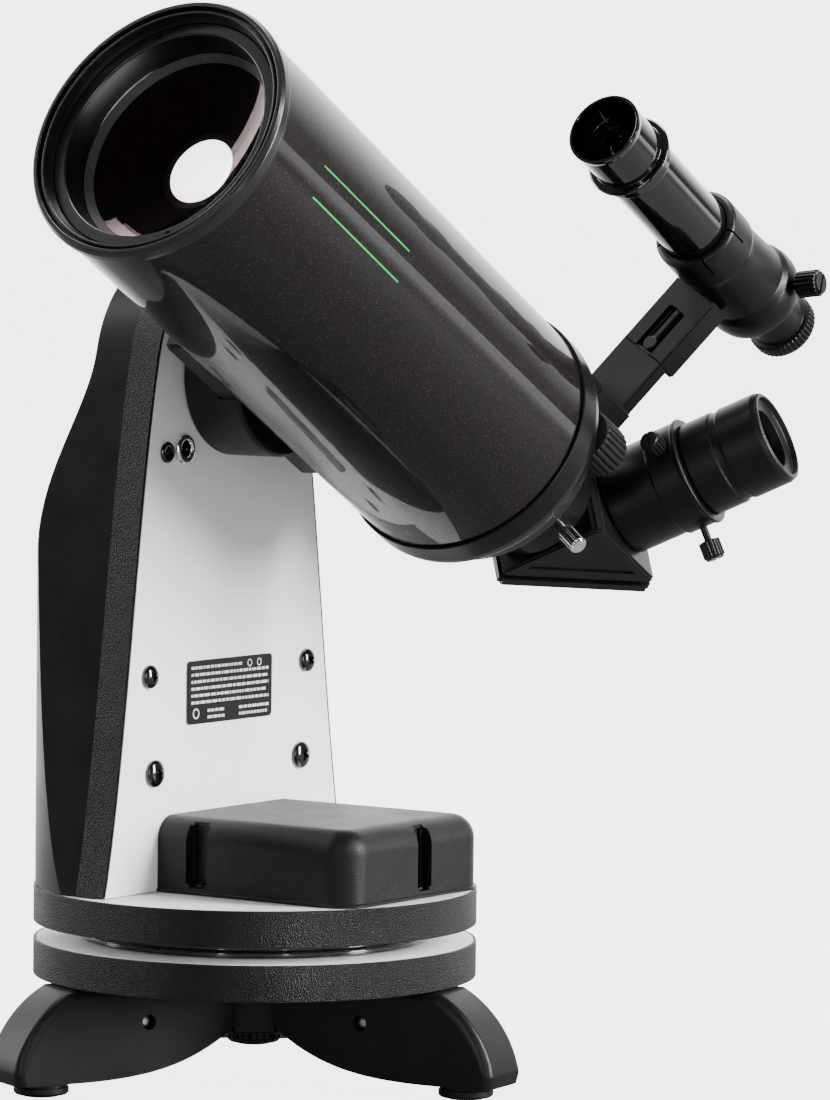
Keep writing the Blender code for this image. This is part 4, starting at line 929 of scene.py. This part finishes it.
def make_finder():
    body = "optical_tube"
    clamp = [
        (0.0137, 0.2205), (0.0148, 0.2210), (0.0152, 0.2220), (0.0152, 0.2345), (0.0145, 0.2362),
        (0.0143, 0.2385), (0.0146, 0.2460), (0.0153, 0.2572), (0.0166, 0.2595), (0.0172, 0.2625),
        (0.0172, 0.2655), (0.0165, 0.2685), (0.0160, 0.2690), (0.0140, 0.2690), (0.0140, 0.2600),
        (0.0123, 0.2560), (0.0123, 0.2205),
    ]
    cuts = []
    for angle in (-62, 30, 150, 240):
        slit = block((0.011, -0.0004, 0.218), (0.017, 0.0004, 0.2290), 0)
        cuts.append(placed(slit, Matrix.Rotation(-radians(angle), 4, "Z")))
    turns = [radial(radians(angle), 0.2640) for angle in (-52, 68)]
    cuts += [placed(rod(0.0017, 0.011, 0.02), turn) for turn in turns]
    holder = turned(clamp, 144, 0.0003)
    piece("finder_holder", holder, FINDER, satin, body, "plastic", "finder_bracket", cuts=cuts)

    upper = block((-0.0424, -0.0105, 0.242), (-0.0135, 0.0105, 0.252), 0.0007)
    lower = block((-0.0664, -0.0105, 0.242), (-0.0404, 0.0105, 0.2478), 0.0007)
    base = block((-0.0724, -0.0115, 0.2263), (-0.0609, 0.0115, 0.2478), 0.0008)
    pocket = block((-0.0415, -0.0042, 0.2412), (-0.0230, 0.0042, 0.2447), 0.0006)
    piece("finder_stalk", upper, FINDER, leg_plastic, body, "plastic", cuts=[pocket])
    piece("finder_stalk_foot", joined(lower, base), FINDER, leg_plastic, body, "plastic")
    boss = turned([(0, 0.2422), (0.0024, 0.2422), (0.0026, 0.2426), (0.0026, 0.2446), (0, 0.2446)], 48)
    placed(boss, Matrix.Translation((-0.0378, 0, 0)))
    rib = block((-0.0370, -0.0010, 0.2424), (-0.0232, 0.0010, 0.2446), 0.0003)
    piece("finder_latch", joined(boss, rib), FINDER, grey_plastic, body, "plastic")

    tube = [
        (0.0130, 0.1540), (0.0130, 0.1552), (0.0126, 0.1566), (0.0126, 0.1712), (0.0145, 0.1714),
        (0.0150, 0.1718), (0.0150, 0.1726), (0.0134, 0.1732), (0.0132, 0.1772), (0.0120, 0.1785),
        (0.0120, 0.2720), (0.0105, 0.2750), (0.0080, 0.2750), (0.0108, 0.2700), (0.0108, 0.1700),
        (0.0113, 0.1690), (0.0113, 0.1665), (0.0116, 0.1660), (0.0116, 0.1640), (0.0120, 0.1635),
        (0.0120, 0.1540),
    ]
    piece("finder_barrel", turned(tube, 144, 0.00022), FINDER, gloss, body, "anodised", "finder_tube")
    lens = [(0, 0.1688)] + [(0.0104 * k / 10, 0.1688 + 9.5 * (0.0104 * k / 10) ** 2) for k in range(1, 11)]
    lens += [(0.0104, 0.1729), (0, 0.1729)]
    piece("finder_objective", turned(lens, 80, 0.0), FINDER, eye_glass, body, "glass", "finder_lens")
    stop = ring_profile(0.0094, 0.0107, 0.1672, 0.1680)
    piece("finder_lens_ring", turned(stop, 80, 0.0001), FINDER, anodised, body, "anodised")

    eye = [
        (0.0092, 0.2753), (0.0096, 0.2758), (0.0100, 0.2850), (0.0112, 0.2852), (0.0120, 0.2858),
        (0.0120, 0.2902), (0.0110, 0.2914), (0.0060, 0.2914), (0.0050, 0.2908), (0.0045, 0.2885),
        (0.0045, 0.2650), (0.0076, 0.2650), (0.0076, 0.2753),
    ]
    knurl = turned(eye, 96, 0.0002, (44, 0.0006, 0.2854, 0.2906, 0.0112))
    piece("finder_eyepiece_ring", knurl, FINDER, satin, "finder_eyepiece", "plastic", "finder_eyepiece")
    window = turned([(0, 0.2862), (0.0044, 0.2866), (0.0044, 0.2880), (0, 0.2884)], 40, 0.0)
    piece("finder_eye_lens", window, FINDER, eye_glass, "finder_eyepiece", "glass")
    for number, turn in enumerate(turns, 1):
        name = f"finder_screw_{number}"
        screw, slot = knurled_screw((0.0047, 0.0190, 0.0275), (0.0014, 0.0123), 18, 0.0011)
        piece(name + "_head", screw, FINDER @ turn, satin, name, "plastic", name, cuts=slot)


# ---------------------------------------------------------------- star diagonal and eyepiece


def make_diagonal():
    leg, wide, cut = PRISM_HALF, 0.022, 0.0025
    outline = [
        (leg, cut - leg), (leg, leg - cut), (leg - cut, leg - cut), (cut - leg, cut - leg), (cut - leg, -leg),
        (leg - cut, -leg),
    ]
    shape = loft([[(x, y, z) for x, z in outline] for y in (-wide, wide)])
    prism = bevelled(shape, 0.0009, 3, 20)
    panel = [(leg - 0.0036, 0.0060 - leg), (leg - 0.0036, leg - 0.0105), (0.0105 - leg, 0.0036 - leg),
             (leg - 0.0060, 0.0036 - leg)]
    cuts = []
    for side in (-1, 1):
        low, high = sorted((side * (wide - 0.0006), side * (wide + 0.002)))
        cuts.append(loft([[(x, y, z) for x, z in panel] for y in (low, high)]))
    cuts.append(rod(0.0142, -0.0465, 0.02, 64))
    cuts.append(placed(rod(0.0150, 0.0, 0.03, 64), ALONG_X))
    nose_start = 0.2295 - DIAGONAL_TAU
    nose_inside, nose_end = 0.0143, 0.002 - leg
    nose_shape = [
        (nose_inside, nose_start), (BARREL, nose_start), (BARREL, nose_end), (nose_inside, nose_end),
    ]
    nose = turned(nose_shape, 128, 0.0003)
    collar = turned(ring_profile(nose_inside, 0.0178, -leg - 0.0004, nose_end), 128, 0.0002)
    piece("diagonal_housing", prism, SWIVEL, satin, "diagonal", "plastic", "diagonal_body", cuts=cuts)
    piece("diagonal_nosepiece", joined(nose, collar), SWIVEL, anodised, "diagonal", "anodised")
    slope = SWIVEL @ Matrix.Rotation(-3 * pi / 4, 4, "Y")
    plate = block((GAP, -wide, -0.0275), (0.0062, wide, 0.0275), 0.0014, 4)
    pocket = block((-0.001, -0.0168, -0.0238), (0.0036, 0.0168, 0.0238), 0)
    steps = [
        block((-0.001, -wide - 0.001, -0.030), (0.0012, -wide + 0.0007, 0.030), 0),
        block((-0.001, wide - 0.0007, -0.030), (0.0012, wide + 0.001, 0.030), 0),
    ]
    cuts = [pocket, *steps]
    piece("diagonal_cover", plate, slope, satin, "diagonal", "plastic", "diagonal_back_cover", cuts=cuts)

    bore = BARREL + GAP
    holder = [
        (0.0172, leg + GAP), (0.0179, leg + 0.0008), (0.0179, 0.0400), (0.0187, 0.0406), (0.0187, 0.0504),
        (0.0192, 0.0508), (0.0192, 0.0517), (0.0188, 0.0521), (0.0166, 0.0521), (bore, 0.0517),
        (bore, 0.0265),
        (0.0150, 0.0265), (0.0150, leg + GAP),
    ]
    turns, holes = [], []
    for angle in (radians(88), radians(208)):
        outwards = Matrix.Rotation(angle, 4, "Z") @ Matrix.Rotation(pi / 2, 4, "X")
        turn = Matrix.Translation((0, 0, 0.046)) @ outwards
        turns.append(turn)
        holes.append(placed(rod(0.0016, 0.014, 0.021), turn))
    sleeve_mesh = turned(holder, 160, 0.0003)
    piece("eyepiece_sleeve", sleeve_mesh, EYE, satin, "diagonal", "anodised", "eyepiece_holder", cuts=holes)
    for number, (turn, reach) in enumerate(zip(turns, (0.0200, 0.0240)), 1):
        name = f"holder_screw_{number}"
        screw, slot = knurled_screw((0.0038, reach, reach + 0.0065), (0.0013, bore), 16, 0.0010)
        piece(name + "_head", screw, EYE @ turn, satin, name, "plastic", name, cuts=slot)


def make_eyepiece():
    shape = [
        (BARREL, 0.0270), (BARREL, 0.0524), (0.0160, 0.0526), (0.0166, 0.0532), (0.0166, 0.0636),
        (0.0160, 0.0642), (0.0159, 0.0648), (0.0159, 0.0660), (0.0160, 0.0666),
        (0.0165, 0.0671), (0.0165, EYE_END - 0.0022),
        (0.0158, EYE_END - 0.0004), (0.0152, EYE_END), (0.0144, EYE_END), (0.0139, EYE_END - 0.0018),
        (0.0120, EYE_END - 0.0022), (0.0104, EYE_END - 0.0026), (0.0098, EYE_END - 0.0060), (0.0140, 0.0740),
        (0.0140, 0.0270),
    ]
    piece("eyepiece_barrel", turned(shape, 160, 0.00025), EYE, satin, "eyepiece", "plastic", "eyepiece_body")
    lens = [(0, 0.0675), (0.0130, 0.0690), (0.0130, 0.0735)]
    lens += [(0.0104 * k / 8, 0.0752 - 14.0 * (0.0104 * k / 8) ** 2) for k in range(8, 0, -1)] + [(0, 0.0752)]
    piece("eye_lens", turned(lens, 80, 0.0), EYE, eye_glass, "eyepiece", "glass", "eyepiece_lens")


# ---------------------------------------------------------------- inner pieces, stage and camera


def dress_inner_nodes():
    looks = {
        "azimuth_gear": acetal, "altitude_gear": acetal, "azimuth_pinion": brass, "altitude_pinion": brass,
        "azimuth_motor": steel, "altitude_motor": steel, "control_board": circuit, "battery_pack": sleeve,
        "primary_mirror": silvered, "primary_baffle": flat_black, "diagonal_mirror": silvered,
    }
    for name, surface in looks.items():
        mesh = frame["nodes"][name].data
        mesh.materials.clear()
        mesh.materials.append(surface)


CAMERA = Vector((1.1542, -1.6417, 0.3125))
HEADING, PITCH, ROLL = 0.6006, 0.0655, 0.0111
LENS_MM = 196.36
FLOOR_WHITE = 4.3
SKY_WHITE = 4.5
# Name, metres to the right, onwards and up from the middle of the telescope, width, height, watts
SOFTBOXES = (
    ("left softbox", (-1.5, 0.45, 0.7), 0.4, 1.4, 26),
    ("right softbox", (1.5, -0.45, 0.5), 0.35, 1.2, 88),
    ("top softbox", (-0.1, 0.5, 1.6), 1.0, 0.8, 44),
    ("left strip", (-0.62, -1.6, 0.25), 0.10, 1.0, 7),
    ("right strip", (0.62, -1.6, 0.25), 0.10, 1.0, 7),
)


def make_camera():
    level = Vector((-sin(HEADING), cos(HEADING), 0))
    right = Vector((cos(HEADING), sin(HEADING), 0))
    look = cos(PITCH) * level - sin(PITCH) * Vector((0, 0, 1))
    up = right.cross(look)
    side = cos(ROLL) * right + sin(ROLL) * up
    top = cos(ROLL) * up - sin(ROLL) * right
    turn = Matrix((side, top, -look)).transposed().to_4x4()
    data = bpy.data.cameras.new("camera")
    data.lens = LENS_MM
    data.sensor_width = 36
    data.clip_start = 0.01
    camera = bpy.data.objects.new("camera", data)
    camera.matrix_world = Matrix.Translation(CAMERA) @ turn
    bpy.context.collection.objects.link(camera)
    bpy.context.scene.camera = camera
    return look, right


def softbox(name, place, target, wide, tall, power):
    data = bpy.data.lights.new(name, "AREA")
    data.shape = "RECTANGLE"
    data.size, data.size_y = wide, tall
    data.energy = power
    light = bpy.data.objects.new(name, data)
    light.location = place
    light.rotation_euler = (Vector(target) - Vector(place)).to_track_quat("-Z", "Y").to_euler()
    bpy.context.collection.objects.link(light)


def forwards(tree, output, flat):
    """How far a point or a direction lies along the camera's level heading."""
    where = tree.nodes.new("ShaderNodeTexCoord")
    along = tree.nodes.new("ShaderNodeVectorMath")
    along.operation = "DOT_PRODUCT"
    along.inputs[1].default_value = flat
    tree.links.new(where.outputs[output], along.inputs[0])
    return along.outputs["Value"]


def seen_or_lit(tree, seen, lit):
    """A fixed brightness where the backdrop is looked at, and lit where it lights or is mirrored."""
    path = tree.nodes.new("ShaderNodeLightPath")
    mix = tree.nodes.new("ShaderNodeMix")
    tree.links.new(path.outputs["Is Camera Ray"], mix.inputs[0])
    tree.links.new(lit, mix.inputs[2])
    mix.inputs[3].default_value = seen
    return mix.outputs[0]


def make_stage(look, right):
    flat = Vector((look.x, look.y, 0)).normalized()
    bm = bmesh.new()
    bmesh.ops.create_grid(bm, x_segments=1, y_segments=1, size=30)
    mesh = bpy.data.meshes.new("floor")
    bm.to_mesh(mesh)
    bm.free()
    shades = (0.15, 0.15, 0.15), (0.17, 0.17, 0.17)
    white = finish("floor white", *shades, (0.8, 0.9), 3.0, 40.0, (0.02, 0.001))
    glow = white.node_tree.nodes["Principled BSDF"]
    glow.inputs["Emission Color"].default_value = (1, 1, 1, 1)
    glow.inputs["Specular IOR Level"].default_value = 0.0
    tree = white.node_tree
    far = ramp(tree, forwards(tree, "Object", flat), 0.35, 1.1, 0.04, 2.6)
    tree.links.new(seen_or_lit(tree, FLOOR_WHITE, far), glow.inputs["Emission Strength"])
    mesh.materials.append(white)
    floor = bpy.data.objects.new("floor", mesh)
    bpy.context.collection.objects.link(floor)

    world = bpy.data.worlds.new("studio")
    world.use_nodes = True
    tree = world.node_tree
    behind = ramp(tree, forwards(tree, "Generated", flat), 0.5, 0.92, 0.16, 3.4)
    tree.links.new(seen_or_lit(tree, SKY_WHITE, behind), tree.nodes["Background"].inputs["Strength"])
    tree.nodes["Background"].inputs["Color"].default_value = (1, 1, 1, 1)
    bpy.context.scene.world = world

    target = Vector((0, 0, 0.18))
    for name, (aside, onward, height), *box in SOFTBOXES:
        place = target + aside * right + onward * flat + height * Vector((0, 0, 1))
        softbox(name, place, target, *box)


make_discs()
make_hub_and_bolt()
make_legs()
make_arm()
make_label()
make_battery_box()
make_head()
make_tube()
make_visual_back()
make_finder()
make_diagonal()
make_eyepiece()
dress_inner_nodes()
bpy.context.view_layer.update()
view_look, view_right = make_camera()
make_stage(view_look, view_right)
